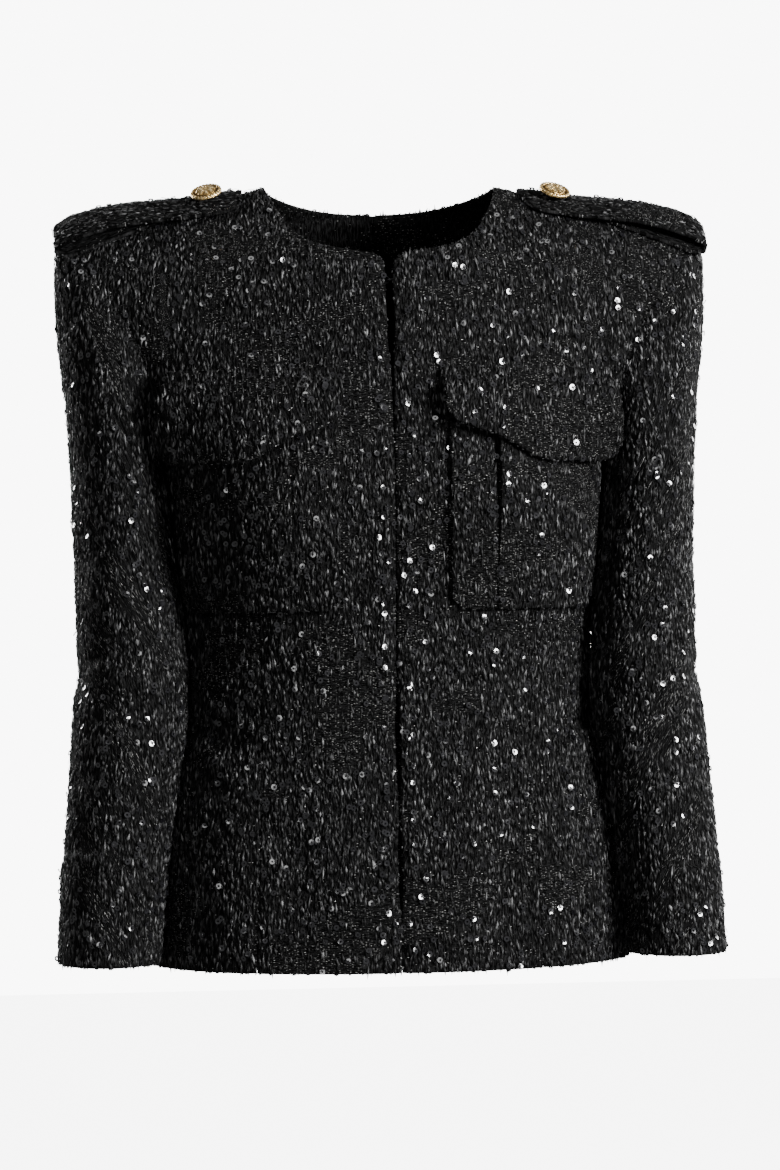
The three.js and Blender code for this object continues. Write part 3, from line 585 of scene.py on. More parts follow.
TIP_INSIDE = 1.5  # how far inside the armhole the shoulder's top is still taken from the body
TIP_ROWS = {
    "front": {key: FRONT_ROWS[key][7:] for key in ("ax", "ay")},
    "back": {key: BACK_ROWS[key][6:] for key in ("ax", "ay")},
}


def shoulder_top(x, y):
    """The top of the shoulder, carried on past the armhole over the sleeve head."""
    x, y = arrays(x, y)
    s = SHOULDER
    ahead = y < mix(s.y, s.tip_y, (x - s.x) / s.run) - SEAM
    edge = {which: along(TIP_ROWS[which], "ay", "ax", y) for which in TIP_ROWS}
    safe = np.minimum(x, np.where(ahead, edge["front"], edge["back"]) - TIP_INSIDE)
    start_u, start_v = (safe - s.x) / s.run, SHOULDER_V - np.abs(y - SIDE_Y)
    both = [find_on(which, (0, 1), (safe, y), start_u, start_v) for which in ROWS]
    point, normal = (np.where(ahead[..., None], *pair) for pair in zip(*both))
    return point + (x - safe)[..., None] * np.array([1, 0, -s.fall / s.run]), normal


def epaulette_grid():
    """The strap, from its sewn end up to the tip of the shoulder, round and back under."""
    path = EPAULETTE_PATH
    knots = np.arange(len(path["x"]), dtype=float)
    fine = np.linspace(0, knots[-1], 100)
    smooth = {key: along({"k": knots, key: path[key]}, "k", key, fine) for key in path}
    line = along(EPAULETTE_LINE, "x", "y", smooth["x"])
    middle = shoulder_top(smooth["x"], line)[0] + smooth["lift"][:, None] * SHOULDER_UP
    heading = unit(np.gradient(middle, axis=0))
    facing = -np.cross(np.array([0, 1.0, 0]), heading)
    y = line[:, None] + smooth["half"][:, None] * np.linspace(-1, 1, 19)[None, :]
    point, _ = shoulder_top(np.broadcast_to(smooth["x"][:, None], y.shape), y)
    point = point + smooth["lift"][:, None, None] * SHOULDER_UP
    return point, np.broadcast_to(facing[:, None, :], point.shape).copy()


# Mesh making.
def new_object(name, vertices, faces, smooth=True):
    mesh = bpy.data.meshes.new(name)
    mesh.from_pydata((np.asarray(vertices) * MM).tolist(), [], [list(map(int, f)) for f in faces])
    mesh.polygons.foreach_set("use_smooth", np.full(len(mesh.polygons), smooth))
    made = bpy.data.objects.new(name, mesh)
    bpy.context.scene.collection.objects.link(made)
    return made


def set_attribute(made, name, values):
    layer = made.data.attributes.new(name, "FLOAT", "POINT")
    layer.data.foreach_set("value", values.astype(np.float32))


def arc_lengths(point, axis):
    """The distance along a grid in millimetres from its first row or column."""
    steps = length_of(np.diff(point, axis=axis))
    pad = [(0, 0), (0, 0)]
    pad[axis] = (1, 0)
    return np.pad(np.cumsum(steps, axis=axis), pad)


LATTICE = 64
# Patches where shiny weft shows: cells across and down in mm, seed and share of each noise,
# and the value at which they start and how soft their edge is.
LUREX = Sizes(noises=((40, 25, 11, 0.75), (13, 7, 12, 0.25)), start=0.56, over=0.1)
LEVEL_U = np.linspace(0, 1, 200)
# Over the shoulder the way down also counts the depth: by how much, and from which places.
OVER = Sizes(share=0.6, depth=60, z=-130, rise=60)


def value_noise(u, v, seed):
    """Smooth noise from 0 to 1 over a lattice of random numbers, one cell a unit."""
    lattice = np.random.default_rng(seed).random((LATTICE, LATTICE))
    i, j = np.floor(u).astype(int), np.floor(v).astype(int)
    s, t = ease(u - i), ease(v - j)

    def corner(di, dj):
        return lattice[(i + di) % LATTICE, (j + dj) % LATTICE]

    return mix(mix(corner(0, 0), corner(1, 0), s), mix(corner(0, 1), corner(1, 1), s), t)


def lurex_share(uv):
    """How much of the cloth is shiny weft at weave coordinates in millimetres."""
    u, v = uv[..., 0], uv[..., 1]
    broad, fine = (share * value_noise(u / a, v / b, seed) for a, b, seed, share in LUREX.noises)
    return ease((broad + fine - LUREX.start) / LUREX.over)


def weave_coordinates(name, point, side, shift):
    """Distances across and down the cloth in millimetres."""
    across, down = arc_lengths(point, 1) * side, -arc_lengths(point, 0)
    if name.startswith(("front", "back", "side_front")):
        x, y, z = np.abs(point[..., 0]), np.abs(point[..., 1]), point[..., 2]
        level = plain_body("back" if name.startswith("back") else "front", LEVEL_U, ARMPIT_V)
        steps = length_of(np.diff(level[..., :2], axis=0))
        arcs = np.concatenate([[0], np.cumsum(steps)])
        width = np.interp(x, level[:, 0], arcs) + np.maximum(x - level[-1, 0], 0)
        start = width[:1, :1] if name.startswith("side_front") else 0
        across = np.where(z > HEM_Z + ARMPIT_V, width * side, across + start * side)
        deep = np.maximum(OVER.depth - y, 0) * ease((z - OVER.z) / OVER.rise)
        down = HEM_Z - z - OVER.share * deep
    return np.stack([across, down], axis=-1) + shift


def rim_of(grid):
    """A grid's edge vertices in order: places, points, normals and the way out of the cloth."""
    point, normal = grid
    rows, columns = point.shape[:2]
    top = np.arange(columns - 1)
    right = np.arange(rows - 1) * columns + columns - 1
    bottom = (rows - 1) * columns + np.arange(columns - 1, 0, -1)
    left = np.arange(rows - 1, 0, -1) * columns
    rim = np.concatenate([top, right, bottom, left])
    out = np.zeros_like(point)
    out[:, 0] += unit(point[:, 0] - point[:, 1])
    out[:, -1] += unit(point[:, -1] - point[:, -2])
    out[0] += unit(point[0] - point[1])
    out[-1] += unit(point[-1] - point[-2])
    out -= normal * (out * normal).sum(-1, keepdims=True)
    return rim, *(values.reshape(-1, 3)[rim] for values in (point, normal, unit(out)))


EDGE_STEPS = 5  # round a cloth edge, from the outer to the inner face


def cloth_piece(name, grid, wall, side, shift):
    """A closed cloth wall over a grid, with rounded edges and its weave coordinates."""
    point, normal = grid
    rows, columns = point.shape[:2]
    count = rows * columns
    rim, rim_point, rim_normal, outward = rim_of(grid)
    middle = rim_point - rim_normal * wall / 2
    rounds = [
        middle + wall / 2 * (math.cos(turn) * rim_normal + math.sin(turn) * outward)
        for turn in np.linspace(0, math.pi, EDGE_STEPS + 1)[1:-1]
    ]
    faces_out_and_in = [grid_side.reshape(-1, 3) for grid_side in (point, point - normal * wall)]
    vertices = np.concatenate([*faces_out_and_in, *rounds])
    j, i = np.meshgrid(np.arange(rows - 1), np.arange(columns - 1), indexing="ij")
    a = (j * columns + i).ravel()
    outer = np.stack([a, a + 1, a + 1 + columns, a + columns], axis=1)
    place = np.arange(len(rim))
    rings = [rim, *(2 * count + k * len(rim) + place for k in range(EDGE_STEPS - 1)), rim + count]
    edges = [
        np.stack([one, two, np.roll(two, -1), np.roll(one, -1)], axis=1)
        for one, two in zip(rings, rings[1:])
    ]
    faces = np.concatenate([outer, outer[:, ::-1] + count, *edges])
    across, up = point[1, 1] - point[1, 0], point[2, 1] - point[1, 1]
    if np.dot(np.cross(across, up), normal[1, 1]) < 0:
        faces = faces[:, ::-1]
    made = new_object(name, vertices, faces)
    uv = weave_coordinates(name, point, side, shift).reshape(-1, 2)
    uv = np.concatenate([uv, uv, *[uv[rim]] * (EDGE_STEPS - 1)])
    loops = np.empty(len(made.data.loops), np.int32)
    made.data.loops.foreach_get("vertex_index", loops)
    layer = made.data.uv_layers.new(name="weave")
    layer.data.foreach_set("uv", (uv[loops] * MM).ravel())
    set_attribute(made, "lurex", lurex_share(uv))
    return made


GRAIN_TILT = 0.35  # how far the warp of fronts and backs leans with the slope of the cloth


def straight_grain(kind, normal, lengthwise):
    """The warp's direction at places of a cut piece; a strap's runs along its length."""
    if kind.startswith("epaulette"):
        return lengthwise
    up = np.array([0, 0, 1.0])
    if kind.startswith("sleeve"):
        return unit(up - normal * normal[:, 2:])
    over = np.stack([0 * normal[:, 0], normal[:, 2], -normal[:, 1]], axis=-1)
    return unit(over + GRAIN_TILT * up * (-1 if kind.startswith("back") else 1))


def scatter(kind, grid, uv, density, keep_in_lurex):
    """Random places on a grid: points, normals and the direction of the warp."""
    point, normal = grid
    a, b = point[1:, :-1] - point[:-1, :-1], point[:-1, 1:] - point[:-1, :-1]
    area = length_of(np.cross(a, b)).ravel()
    count = int(area.sum() * density)
    cell = rng.choice(len(area), count, p=area / area.sum())
    j, i = np.divmod(cell, point.shape[1] - 1)
    s, t = rng.random((2, count, 1))

    def at(values):
        upper = mix(values[j, i], values[j, i + 1], s)
        lower = mix(values[j + 1, i], values[j + 1, i + 1], s)
        return mix(upper, lower, t)

    above, below = (mix(point[row, i], point[row, i + 1], s) for row in (j, j + 1))
    kept = rng.random(count) < mix(1.0, keep_in_lurex, lurex_share(at(uv)))
    facing = unit(at(normal))
    warp = straight_grain(kind, facing, unit(below - above))
    return at(point)[kept], facing[kept], warp[kept]


RIM_TURN = (0.3, 2.4)  # radians round the edge, from the outer face


def scatter_on_rim(grid, wall, density):
    """Random places round the rounded edge of a grid."""
    rim, corners, normals, outward = rim_of(grid)
    ahead = np.roll(corners, -1, axis=0)
    length = length_of(ahead - corners)
    count = int(length.sum() * density)
    k = rng.choice(len(rim), count, p=length / length.sum())
    turn = rng.uniform(*RIM_TURN, (count, 1))
    facing = np.cos(turn) * normals[k] + np.sin(turn) * outward[k]
    base = mix(corners[k], ahead[k], rng.random((count, 1))) - normals[k] * wall / 2
    return base + facing * wall / 2, facing, unit(ahead[k] - corners[k])


def stamped(name, shape, faces, origin, axes, scales, tints):
    """Many copies of one small shape, joined into one mesh, each with its own tint."""
    count, n = len(origin), len(shape)
    local = shape[None, :, :] * scales[:, None, :]
    points = origin[:, None, :] + np.einsum("nvk,nkd->nvd", local, axes)
    shift = (np.arange(count) * n)[:, None, None]
    all_faces = (faces[None, :, :] + shift).reshape(-1, faces.shape[1])
    made = new_object(name, points.reshape(-1, 3), all_faces)
    set_attribute(made, "tint", np.repeat(tints, n))
    return made


def frames(normal, warp, turn, lean_x, lean_y):
    """Local axes (width, length, height) turned about the normal and leaned off it."""
    length = unit(warp - normal * (warp * normal).sum(-1, keepdims=True))
    width = np.cross(length, normal)
    c, s = np.cos(turn)[:, None], np.sin(turn)[:, None]
    length, width = length * c + width * s, width * c - length * s
    height = unit(normal + width * lean_x[:, None] + length * lean_y[:, None])
    length = unit(length - height * (length * height).sum(-1, keepdims=True))
    return np.stack([np.cross(length, height), length, height], axis=1)


# Half a slub's length each way is 1; it is a long octahedron, highest in the middle.
SLUB = np.array([[0, -1, -0.1], [-1, 0, 0], [0, 0.1, 1], [1, 0, 0], [0, 0, -1], [0, 1, -0.1]])
SLUB_FACES = np.array(
    [[0, 2, 1], [0, 3, 2], [0, 4, 3], [0, 1, 4], [5, 1, 2], [5, 2, 3], [5, 3, 4], [5, 4, 1]]
)
# Slubs and sequins: how many to a square millimetre or a millimetre of rim, the share kept
# in shiny weft, sizes in mm with their spread, leans in radians and height over the cloth.
SLUBS = Sizes(
    density=0.096, on_rim=0.22, in_lurex=0.3, turn=0.15, lean=(0.25, 0.12),
    length=(3.2, 0.34), limits=(1.4, 5.6), width=(0.8, 0.22), height=(0.6, 0.28),
    rim_share=0.42, strap_share=0.62, lift=0.3,
)
SEQUINS = Sizes(
    density=0.0078, in_lurex=0.5, radius=2.0, size=(0.9, 1.05), lean=0.25,
    lift=(0.8, 1.4), hole=0.34, sides=12, cup=0.05,
)
# The loose row of sequins beside the centre front.
EDGE_ROW = Sizes(
    inset=7, spread=(0.75, 1.5), step=(8, 27), length=430, slip=4, most=60,
    tilt=(0.33, 0, 0.19), lean=0.5,
)
# Over the hem each front edge lies just past the centre line, which shuts the slit.
HEM_EDGE = Sizes(x=-0.2, height=24, fade=30)
CENTRE_TURN = Sizes(depth=1.7, width=4.5)
# Widths in mm of the strips left without slubs so they read darker, a painted shade beside and
# below the pockets, along the pleat, under the flap and at the centre front, and the share kept at
# the centre.
PAINTED_SHADE_STRIPS = Sizes(
    beside=2.4, below=3.6, sewn=0.5, under_flap=4.0, pleat=1.3,
    pleat_share=0.75, centre=3.5, centre_kept=0.35,
)


def painted_shade_strips(kind, point):
    """Where slubs are left off so the cloth reads darker, a painted shade: along a pocket's edges
    and pleat and under a flap.
    """
    x, z = np.abs(point[:, 0]), point[:, 2]
    p, wide = POCKET, PAINTED_SHADE_STRIPS.beside
    down = (p.top - z) / (p.top - p.bottom)
    outer = mix(p.outer, p.outer_low, np.clip(down, 0, 1))
    if kind.startswith(("front", "side_front")):
        inside = (x > p.inner - wide) & (x < outer + wide) & (z < p.top)
        past_sides = (x < p.inner) | (x > outer)
        past_bottom = z < p.bottom + PAINTED_SHADE_STRIPS.sewn
        return inside & (z > p.bottom - PAINTED_SHADE_STRIPS.below) & (past_sides | past_bottom)
    if kind.startswith("pocket"):
        a = (x - FLAP.inner) / (FLAP.outer - FLAP.inner)
        drop = FLAP.top - along(FLAP_EDGE, "a", "depth", a) - z
        edges = [mix(p.inner, outer, place) for place in (p.pleat_from, p.pleat_to)]
        pleat = np.min([np.abs(x - edge) for edge in edges], axis=0) < PAINTED_SHADE_STRIPS.pleat
        under = (drop > -1) & (drop < PAINTED_SHADE_STRIPS.under_flap)
        return under | (pleat & (down < PAINTED_SHADE_STRIPS.pleat_share))
    return np.zeros(len(point), bool)


def turned_back(grid):
    """A front whose centre edge turns back a little, so the opening shows as a dark line."""
    point, normal = grid
    share = 1 - ease(arc_lengths(point, 1) / CENTRE_TURN.width)
    share = share * (np.abs(point[:, :1, 0]) < 4)
    return point - normal * (CENTRE_TURN.depth * share)[..., None], normal


def slubs(name, grid, uv, wall):
    """Short raised loops of ribbon yarn, mostly along the warp and thick on the edges."""
    s = SLUBS
    inside = scatter(name, grid, uv, s.density, s.in_lurex)
    # Slubs are left off in the strips of painted shade.
    inside = tuple(values[~painted_shade_strips(name, inside[0])] for values in inside)
    edge = scatter_on_rim(grid, wall, s.on_rim)
    # Fewer rim slubs at the centre front leave a darker line there, a painted shade at the
    # opening.
    if name.startswith("front"):
        aside = np.abs(edge[0][:, 0]) > PAINTED_SHADE_STRIPS.centre
        kept = aside | (rng.random(len(edge[0])) < PAINTED_SHADE_STRIPS.centre_kept)
        edge = tuple(values[kept] for values in edge)
    point, normal, warp = (np.concatenate(pair) for pair in zip(inside, edge))
    count = len(point)
    turn, *lean = (rng.normal(0, spread, count) for spread in (s.turn, *s.lean))
    axes = frames(normal, warp, turn, *lean)

    def sizes(usual, spread):
        return rng.lognormal(math.log(usual), spread, count)

    length = np.clip(sizes(*s.length), *s.limits)
    length[len(inside[0]):] *= s.rim_share
    if name.startswith("epaulette"):
        length *= s.strap_share
    width, height = sizes(*s.width), sizes(*s.height)
    scales = np.stack([width, length, height], axis=1)
    origin = point + normal * (height * s.lift)[:, None]
    return stamped(name, SLUB, SLUB_FACES, origin, axes, scales, rng.random(count))


def ring_shape(hole, sides, cup):
    """A flat ring of radius 1 whose rim stands up a little, as points and faces."""
    k = np.arange(sides)
    angle = 2 * math.pi * k / sides
    rim = np.stack([np.cos(angle), np.sin(angle), np.full(sides, cup)], axis=1)
    inner = np.stack([np.cos(angle) * hole, np.sin(angle) * hole, 0 * angle], axis=1)
    ahead = (k + 1) % sides
    return np.concatenate([rim, inner]), np.stack([k, ahead, ahead + sides, k + sides], axis=1)


SEQUIN, SEQUIN_FACES = ring_shape(SEQUINS.hole, SEQUINS.sides, SEQUINS.cup)


def edge_row(grid):
    """Places in a loose row beside a grid's first edge, tilted a little up and aside."""
    point, normal = grid
    e = EDGE_ROW
    along_edge = np.cumsum(rng.uniform(*e.step, e.most))
    along_edge = along_edge[along_edge < e.length]
    j = np.interp(along_edge, arc_lengths(point, 0)[:, 0], np.arange(len(point))).astype(int)
    across = arc_lengths(point, 1)[j]
    wanted = e.inset * rng.uniform(*e.spread, len(j))
    i = np.abs(across - wanted[:, None]).argmin(axis=1)
    warp = unit(point[j + 1, i] - point[j, i])
    place = point[j, i] + warp * rng.uniform(0, e.slip, (len(j), 1))
    return place, unit(normal[j, i] + e.tilt), warp


def sequins(name, grid, uv):
    """Ring sequins, scattered over the cloth and in a loose row by the centre front."""
    s = SEQUINS
    point, normal, warp = scatter(name, grid, uv, s.density, s.in_lurex)
    if name.startswith("front"):
        placed = edge_row(grid)
        point, normal, warp = (np.concatenate(pair) for pair in zip((point, normal, warp), placed))
    count = len(point)
    turn = rng.uniform(0, 2 * math.pi, count)
    lean = rng.normal(0, s.lean, (2, count))
    if name.startswith("front"):
        lean[:, -len(placed[0]):] *= EDGE_ROW.lean
    axes = frames(normal, warp, turn, *lean)
    scales = np.full((count, 3), s.radius) * rng.uniform(*s.size, (count, 1))
    origin = point + normal * rng.uniform(*s.lift, (count, 1))
    return stamped(name, SEQUIN, SEQUIN_FACES, origin, axes, scales, rng.random(count))


# Buttons.
def button_mesh(name, side):
    """A shank button with a rope rim and a plain rosette of petals, on the strap."""
    q, turns = BUTTON, BUTTON.turns
    radius, field = q.radius, q.field
    r = np.concatenate([np.linspace(0.12, field, 30), np.linspace(field + 0.2, radius, 14)])
    r = r[:, None]
    angle = 2 * math.pi * np.arange(turns)[None, :] / turns
    dome = q.dome * (1 - (r / q.dome_half) ** 2 * q.dome_fall)
    relief = 0
    for part in rows_of(RELIEF):
        lobes = np.abs(np.cos(part["lobes"] * angle - part["turn"] * math.pi)) ** part["power"]
        relief = relief + part["height"] * lobes * bell((r - part["radius"]) / part["half"])
    strands = 0.5 + 0.5 * np.sin(q.strands * angle + 1.5 * (r - q.rope))
    rope = np.sqrt(np.clip(1 - ((r - q.rope) / q.rope_half) ** 2, 0, 1)) * (1.5 + 0.55 * strands)
    z = np.where(r < field, dome + q.relief * relief, q.rim + rope)
    # Painted shade and highlight: the hollows of the relief and the grooves between rope strands
    # are darker, the petals, boss and strand crests lighter.
    wear_and_painted_relief_shade = np.where(r < field, 0.15 + 0.85 * relief, 0.35 + 0.65 * strands)
    ring = np.stack([r * np.cos(angle), r * np.sin(angle), z], axis=-1)
    under = [(radius - 0.1, 0.9), (radius - 1.4, 0.1), (2.6, 0), (2.4, -q.stand), (0.2, -q.stand)]
    flat = angle[0]
    back = [np.stack([a * np.cos(flat), a * np.sin(flat), 0 * flat + h], -1) for a, h in under]
    grid = np.concatenate([ring, np.stack(back)])
    rows = len(grid)
    j, i = np.meshgrid(np.arange(rows - 1), np.arange(turns), indexing="ij")
    a, b = (j * turns + i).ravel(), (j * turns + (i + 1) % turns).ravel()
    faces = [list(f) for f in np.stack([a, a + turns, b + turns, b], axis=1)]
    faces += [list(range(turns)), list(range(rows * turns - 1, (rows - 1) * turns - 1, -1))]
    top, normal = shoulder_top(np.array([q.x]), np.array([q.y]))
    strap_top = {key: EPAULETTE_PATH[key][:STRAP_TOP] for key in ("x", "lift")}
    lift = along(strap_top, "x", "lift", q.x)
    seat = top[0] + SHOULDER_UP * lift + normal[0] * (q.off + q.stand)
    up = Vector((0, 0, 1)).rotation_difference(Vector(normal[0])).to_matrix()
    points = grid.reshape(-1, 3) @ np.array(up).T + seat
    if side < 0:
        points, faces = points * [-1, 1, 1], [f[::-1] for f in faces]
    made = new_object(name, points, faces)
    shade = np.zeros(grid.shape[:2])
    shade[:len(ring)] = np.clip(wear_and_painted_relief_shade, 0, 1)
    # The tint attribute carries this painted shade and highlight to the gold material.
    set_attribute(made, "tint", shade.ravel())
    return made


# Materials.
class Nodes:
    """A material's node tree, with short forms for making it."""

    def __init__(self, name, **values):
        self.material = bpy.data.materials.new(name)
        self.material.use_nodes = True
        self.tree = self.material.node_tree
        self.shader = self.tree.nodes["Principled BSDF"]
        for key, value in values.items():
            self.shader.inputs[key.replace("_", " ")].default_value = value

    def add(self, kind, **settings):
        node = self.tree.nodes.new("ShaderNode" + kind)
        for key, value in settings.items():
            setattr(node, key, value)
        return node

    def link(self, start, end):
        self.tree.links.new(start, end)

    def feed(self, key, value):
        self.link(value, self.shader.inputs[key])

    def attribute(self, name):
        return self.add("Attribute", attribute_name=name).outputs["Fac"]

    def place(self):
        return self.add("TexCoord").outputs["Object"]

    def math(self, how, *values):
        node = self.add("Math", operation=how)
        for socket, value in zip(node.inputs, values):
            if isinstance(value, (int, float)):
                socket.default_value = value
            else:
                self.link(value, socket)
        return node.outputs[0]

    def ramp(self, factor, *stops):
        """Colours between stops; a single number is a grey."""
        node = self.add("ValToRGB")
        while len(node.color_ramp.elements) < len(stops):
            node.color_ramp.elements.new(0.5)
        for element, (place, colour) in zip(node.color_ramp.elements, stops):
            element.position = place
            element.color = (*colour, 1) if isinstance(colour, tuple) else (*[colour] * 3, 1)
        self.link(factor, node.inputs["Fac"])
        return node.outputs["Color"]

    def mix(self, factor, a, b, data_type="FLOAT"):
        node = self.add("Mix", data_type=data_type)
        first = {"FLOAT": 2, "RGBA": 6}[data_type]
        for key, value in ((0, factor), (first, a), (first + 1, b)):
            self.link(value, node.inputs[key])
        return node.outputs[{"FLOAT": 0, "RGBA": 2}[data_type]]

    def mapped(self, vector, scale):
        node = self.add("Mapping")
        node.inputs["Scale"].default_value = scale
        self.link(vector, node.inputs["Vector"])
        return node.outputs["Vector"]

    def noise(self, vector, scale, detail, roughness=0.5):
        if isinstance(scale, tuple):
            vector, scale = self.mapped(vector, scale), 1.0
        node = self.add("TexNoise")
        for key, value in (("Scale", scale), ("Detail", detail), ("Roughness", roughness)):
            node.inputs[key].default_value = value
        self.link(vector, node.inputs["Vector"])
        return node.outputs["Fac"]

    def bump(self, height, distance):
        node = self.add("Bump")
        node.inputs["Distance"].default_value = distance
        self.link(height, node.inputs["Height"])
        self.feed("Normal", node.outputs["Normal"])


def tweed_material():
    """The woven ground: dark streaks along the warp and patches of glinting weft."""
    n = Nodes("tweed_ground", Specular_IOR_Level=0.04)
    uv = n.add("UVMap", uv_map="weave").outputs["UV"]
    lurex = n.attribute("lurex")
    warp, weft = n.noise(uv, (820, 190, 1), 3, 0.6), n.noise(uv, (260, 1150, 1), 3, 0.65)
    height = n.mix(lurex, warp, weft)
    n.bump(height, 0.0025)
    dots = n.add("TexVoronoi", feature="F1")
    dots.inputs["Scale"].default_value = 1.0
    n.link(n.mapped(uv, (560, 1350, 1)), dots.inputs["Vector"])
    near = n.ramp(dots.outputs["Distance"], (0.16, 1), (0.42, 0))
    chosen = n.add("SeparateColor")
    n.link(dots.outputs["Color"], chosen.inputs["Color"])
    least = n.math("MULTIPLY_ADD", lurex, -0.46, 0.94)
    glint = n.math("MULTIPLY", n.math("GREATER_THAN", chosen.outputs["Red"], least), near)
    dark = n.ramp(height, (0.44, 0.0005), (0.7, (0.024, 0.024, 0.0242)))
    shine = n.ramp(chosen.outputs["Green"], (0.2, 0.06), (1.0, (0.55, 0.545, 0.53)))
    n.feed("Base Color", n.mix(glint, dark, shine, "RGBA"))
    n.feed("Metallic", glint)
    n.feed("Roughness", n.math("MULTIPLY_ADD", glint, -0.4, 0.78))
    return n.material


def slub_material():
    """Ribbon yarn: mostly black, some loops a dark grey with a soft gloss."""
    n = Nodes("tweed_slub", Specular_IOR_Level=0.3)
    tint = n.attribute("tint")
    n.feed("Base Color", n.ramp(
        tint, (0.0, 0.002), (0.35, (0.01, 0.01, 0.0102)), (0.7, (0.036, 0.036, 0.0365)),
        (0.93, (0.08, 0.08, 0.081)), (1.0, (0.24, 0.24, 0.242)),
    ))
    n.bump(n.noise(n.place(), (2600, 2600, 700), 2, 0.6), 0.0005)
    n.feed("Roughness", n.math("MULTIPLY_ADD", tint, -0.26, 0.62))
    return n.material


def sequin_material():
    """Black film, a little different from disc to disc."""
    n = Nodes("sequin_black", IOR=1.85)
    tint = n.attribute("tint")
    n.feed("Base Color", n.ramp(tint, (0.0, (0.004, 0.004, 0.005)), (1.0, (0.018, 0.018, 0.02))))
    n.bump(n.noise(n.place(), 700, 1), 0.0001)
    n.feed("Roughness", n.math("MULTIPLY_ADD", tint, 0.12, 0.07))
    return n.material


def gold_material():
    """Gold coloured cast metal, with painted shade in its hollows and a painted highlight on its
    raised parts.
    """
    n = Nodes("gold_metal", Metallic=1.0)
    place = n.place()
    cloudy = n.noise(place, 260, 4, 0.6)
    # The button's tint is painted shade in its hollows and a painted highlight on its raised
    # parts; the top colour of the ramp is the highlight.
    raised = n.math("MULTIPLY", n.attribute("tint"), 0.8)
    n.feed("Base Color", n.ramp(
        n.math("MULTIPLY_ADD", cloudy, 0.2, raised),
        (0.12, (0.12, 0.06, 0.015)), (0.5, (0.62, 0.4, 0.14)), (0.9, (0.98, 0.76, 0.42)),
    ))
    n.feed("Roughness", n.math("MULTIPLY_ADD", cloudy, 0.2, 0.17))
    n.bump(n.noise(place, 3000, 3, 0.6), 0.0002)
    return n.material


def wire_material():
    """Black lacquered wire, worn in places."""
    n = Nodes("hook_metal", Metallic=0.9, Roughness=0.35)
    # On the wire this is only random wear, with no painted shade.
    wear_and_painted_relief_shade = n.noise(n.place(), 1500, 3, 0.6)
    n.feed("Base Color", n.ramp(wear_and_painted_relief_shade, (0.4, (0.012, 0.012, 0.013)), (0.75, (0.05, 0.05, 0.052))))
    n.bump(wear_and_painted_relief_shade, 0.0001)
    return n.material


def floor_material():
    n = Nodes("floor_plain", Roughness=0.9, Emission_Color=(1, 1, 1, 1), Emission_Strength=7.0)
    n.feed("Base Color", n.ramp(n.noise(n.place(), 2, 2), (0.3, 0.88), (0.7, 0.9)))
    return n.material


MATERIALS = {
    "cloth": tweed_material(), "slubs": slub_material(), "sequins": sequin_material(),
    "gold": gold_material(), "wire": wire_material(),
}


def dress(node, grid, wall, side, shift):
    """One cloth piece with its slubs and sequins, in place of its solid."""
    if side < 0:
        grid = tuple(values * [-1, 1, 1] for values in grid)
    uv = weave_coordinates(node, grid[0], side, shift)
    piece = cloth_piece(f"{node}_cloth", grid, wall, side, shift)
    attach(piece, "root")
    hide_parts(node)
    piece.data.materials.append(MATERIALS["cloth"])
    yarn = slubs(f"{node}_slubs", grid, uv, wall)
    discs = sequins(f"{node}_sequins", grid, uv)
    for added, finish in ((yarn, "slubs"), (discs, "sequins")):
        added.data.materials.append(MATERIALS[finish])
        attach(added, "root")


def cloth_grids():
    """The grid and wall of each cloth piece; rows are close where a shape turns."""
    half = WALL / 2 - 0.05
    zero, one = np.zeros_like, np.ones_like
    last = PRINCESS["v"][-1]
    low = ((0, ARMPIT_V, 66), (ARMPIT_V, last, 18))
    neck = ((PRINCESS_END_V, 450, 7), (450, 463, 7), (463, SHOULDER_V, 22))
    front_v = row_places(*low, (last, PRINCESS_END_V, 3), *neck)
    side_v = row_places(*low, (last, 422.5, 2))
    back_v = row_places(low[0], (ARMPIT_V, 486, 34), (486, 494, 3), (494, SHOULDER_V, 16))
    opening = along(ROWS["front"], "v", "x", front_v)
    low_share = 1 - ease((front_v - HEM_EDGE.height) / HEM_EDGE.fade)
    centre = WALL / 2 - (opening - HEM_EDGE.x) * low_share
    front = body_grid(
        "front", front_v, zero, lambda v: np.where(v >= PRINCESS_END_V, 1, princess_u(v)),
        34, centre, half, half,
    )
    side = body_grid("front", side_v, princess_u, one, 22, half, half, 0)
    back = body_grid("back", back_v, zero, one, 46, half, half, half)
    trim = SLEEVE_TRIM
    return {
        "front": (turned_back(front), WALL),
        "side_front": (side, WALL),
        "back": (back, WALL),
        "sleeve_upper": (sleeve_grid(38, BACK_SEAM - 1 + trim, FRONT_SEAM - trim, True), WALL),
        "sleeve_under": (sleeve_grid(40, FRONT_SEAM + trim, BACK_SEAM - trim, False), WALL),
        "pocket": (pocket_grid(), POCKET.wall),
        "flap": (flap_grid(), FLAP.wall),
        "epaulette": (epaulette_grid(), EPAULETTE_WALL),
    }


def dress_jacket():
    sides = ((1, "left"), (-1, "right"))
    for k, (name, (grid, wall)) in enumerate(cloth_grids().items()):
        for side, word in sides:
            dress(f"{name}_{word}", grid, wall, side, np.array([410.0 * k, 730.0 * side]))
    for side, word in sides:
        button = button_mesh(f"button_{word}_rosette", side)
        button.data.materials.append(MATERIALS["gold"])
        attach(button, "root")
        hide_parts(f"button_{word}")
    for name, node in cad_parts.items():
        if name.startswith(("hook", "eye")):
            node.data.materials.clear()
            node.data.materials.append(MATERIALS["wire"])


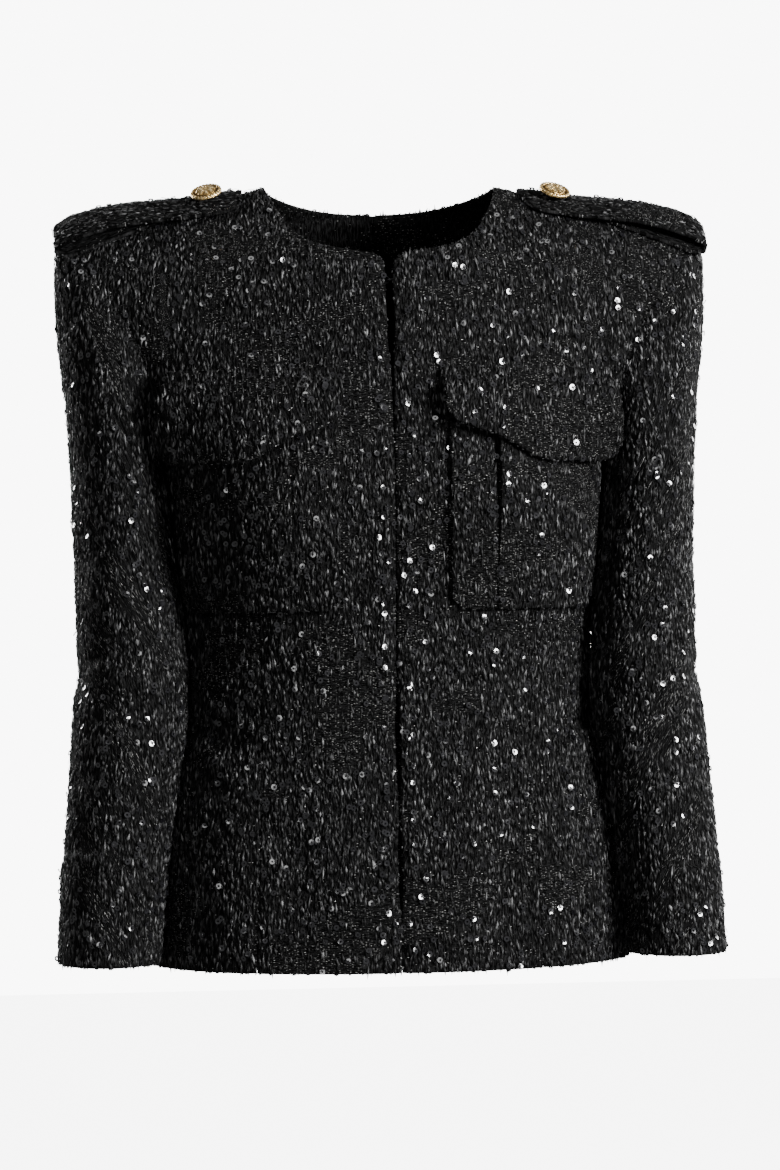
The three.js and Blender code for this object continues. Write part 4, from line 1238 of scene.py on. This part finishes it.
def add_camera():
    c = CAMERA
    turn = math.radians(c.turn)
    data = bpy.data.cameras.new("camera")
    data.sensor_width = 36
    half_height = PHOTO_SIZE[1] / 2 * c.mm_a_pixel * MM
    data.lens = data.sensor_width / 2 * c.distance / half_height
    camera = bpy.data.objects.new("camera", data)
    bpy.context.scene.collection.objects.link(camera)
    away = Vector((-math.sin(turn), -math.cos(turn), 0)) * c.distance
    aside = Vector((math.cos(turn), -math.sin(turn), 0)) * c.centre_x
    look = Matrix.Rotation(-turn, 4, "Z") @ Matrix.Rotation(math.radians(90), 4, "X")
    spin = Matrix.Rotation(math.radians(-c.roll), 4, "Z")
    place = Matrix.Translation(away + aside + Vector((0, 0, c.height)))
    camera.matrix_world = place @ look @ spin
    bpy.context.scene.camera = camera


def area_light(name, place, size, power):
    data = bpy.data.lights.new(name, "AREA")
    data.shape = "DISK"
    data.size = size
    data.energy = power
    light = bpy.data.objects.new(name, data)
    bpy.context.scene.collection.objects.link(light)
    light.location = place
    light.rotation_euler = (Vector(MIDDLE) - Vector(place)).to_track_quat("-Z", "Y").to_euler()


FLOOR_Z = -1.35
FLOOR_SIZE = 14.0
MIDDLE = (0, 0, -0.28)
# Name, place, width and power of each light; all point at the middle of the jacket.
LIGHTS = (
    ("key", (1.85, -1.6, 0.32), 0.8, 136),
    ("fill", (-0.7, -2.3, -0.5), 0.9, 9),
    ("top", (0, -0.3, 1.7), 1.0, 6),
    ("back_left", (-1.6, 1.9, 0.6), 1.0, 70),
    ("back_right", (1.9, 1.5, 0.4), 1.0, 42),
)
SURROUND = {"To Min": 0.18, "To Max": 9.0}  # its light on the jacket, and as the camera sees it


def add_world():
    """An even white surround to look at, whose light on the cloth is dimmer."""
    world = bpy.data.worlds.new("studio")
    bpy.context.scene.world = world
    world.use_nodes = True
    tree = world.node_tree
    background = tree.nodes["Background"]
    background.inputs["Color"].default_value = (1, 1, 1, 1)
    seen = tree.nodes.new("ShaderNodeLightPath").outputs["Is Camera Ray"]
    strength = tree.nodes.new("ShaderNodeMapRange")
    for key, value in SURROUND.items():
        strength.inputs[key].default_value = value
    tree.links.new(seen, strength.inputs["Value"])
    tree.links.new(strength.outputs["Result"], background.inputs["Strength"])


def add_stage():
    add_world()
    for light in LIGHTS:
        area_light(*light)
    half = FLOOR_SIZE / 2 / MM
    corners = [[-half, -half], [half, -half], [half, half], [-half, half]]
    floor = new_object("floor", [[x, y, FLOOR_Z / MM] for x, y in corners], [[0, 1, 2, 3]], False)
    floor.data.materials.append(floor_material())
    floor.visible_diffuse = floor.visible_glossy = False


add_camera()
dress_jacket()
add_stage()
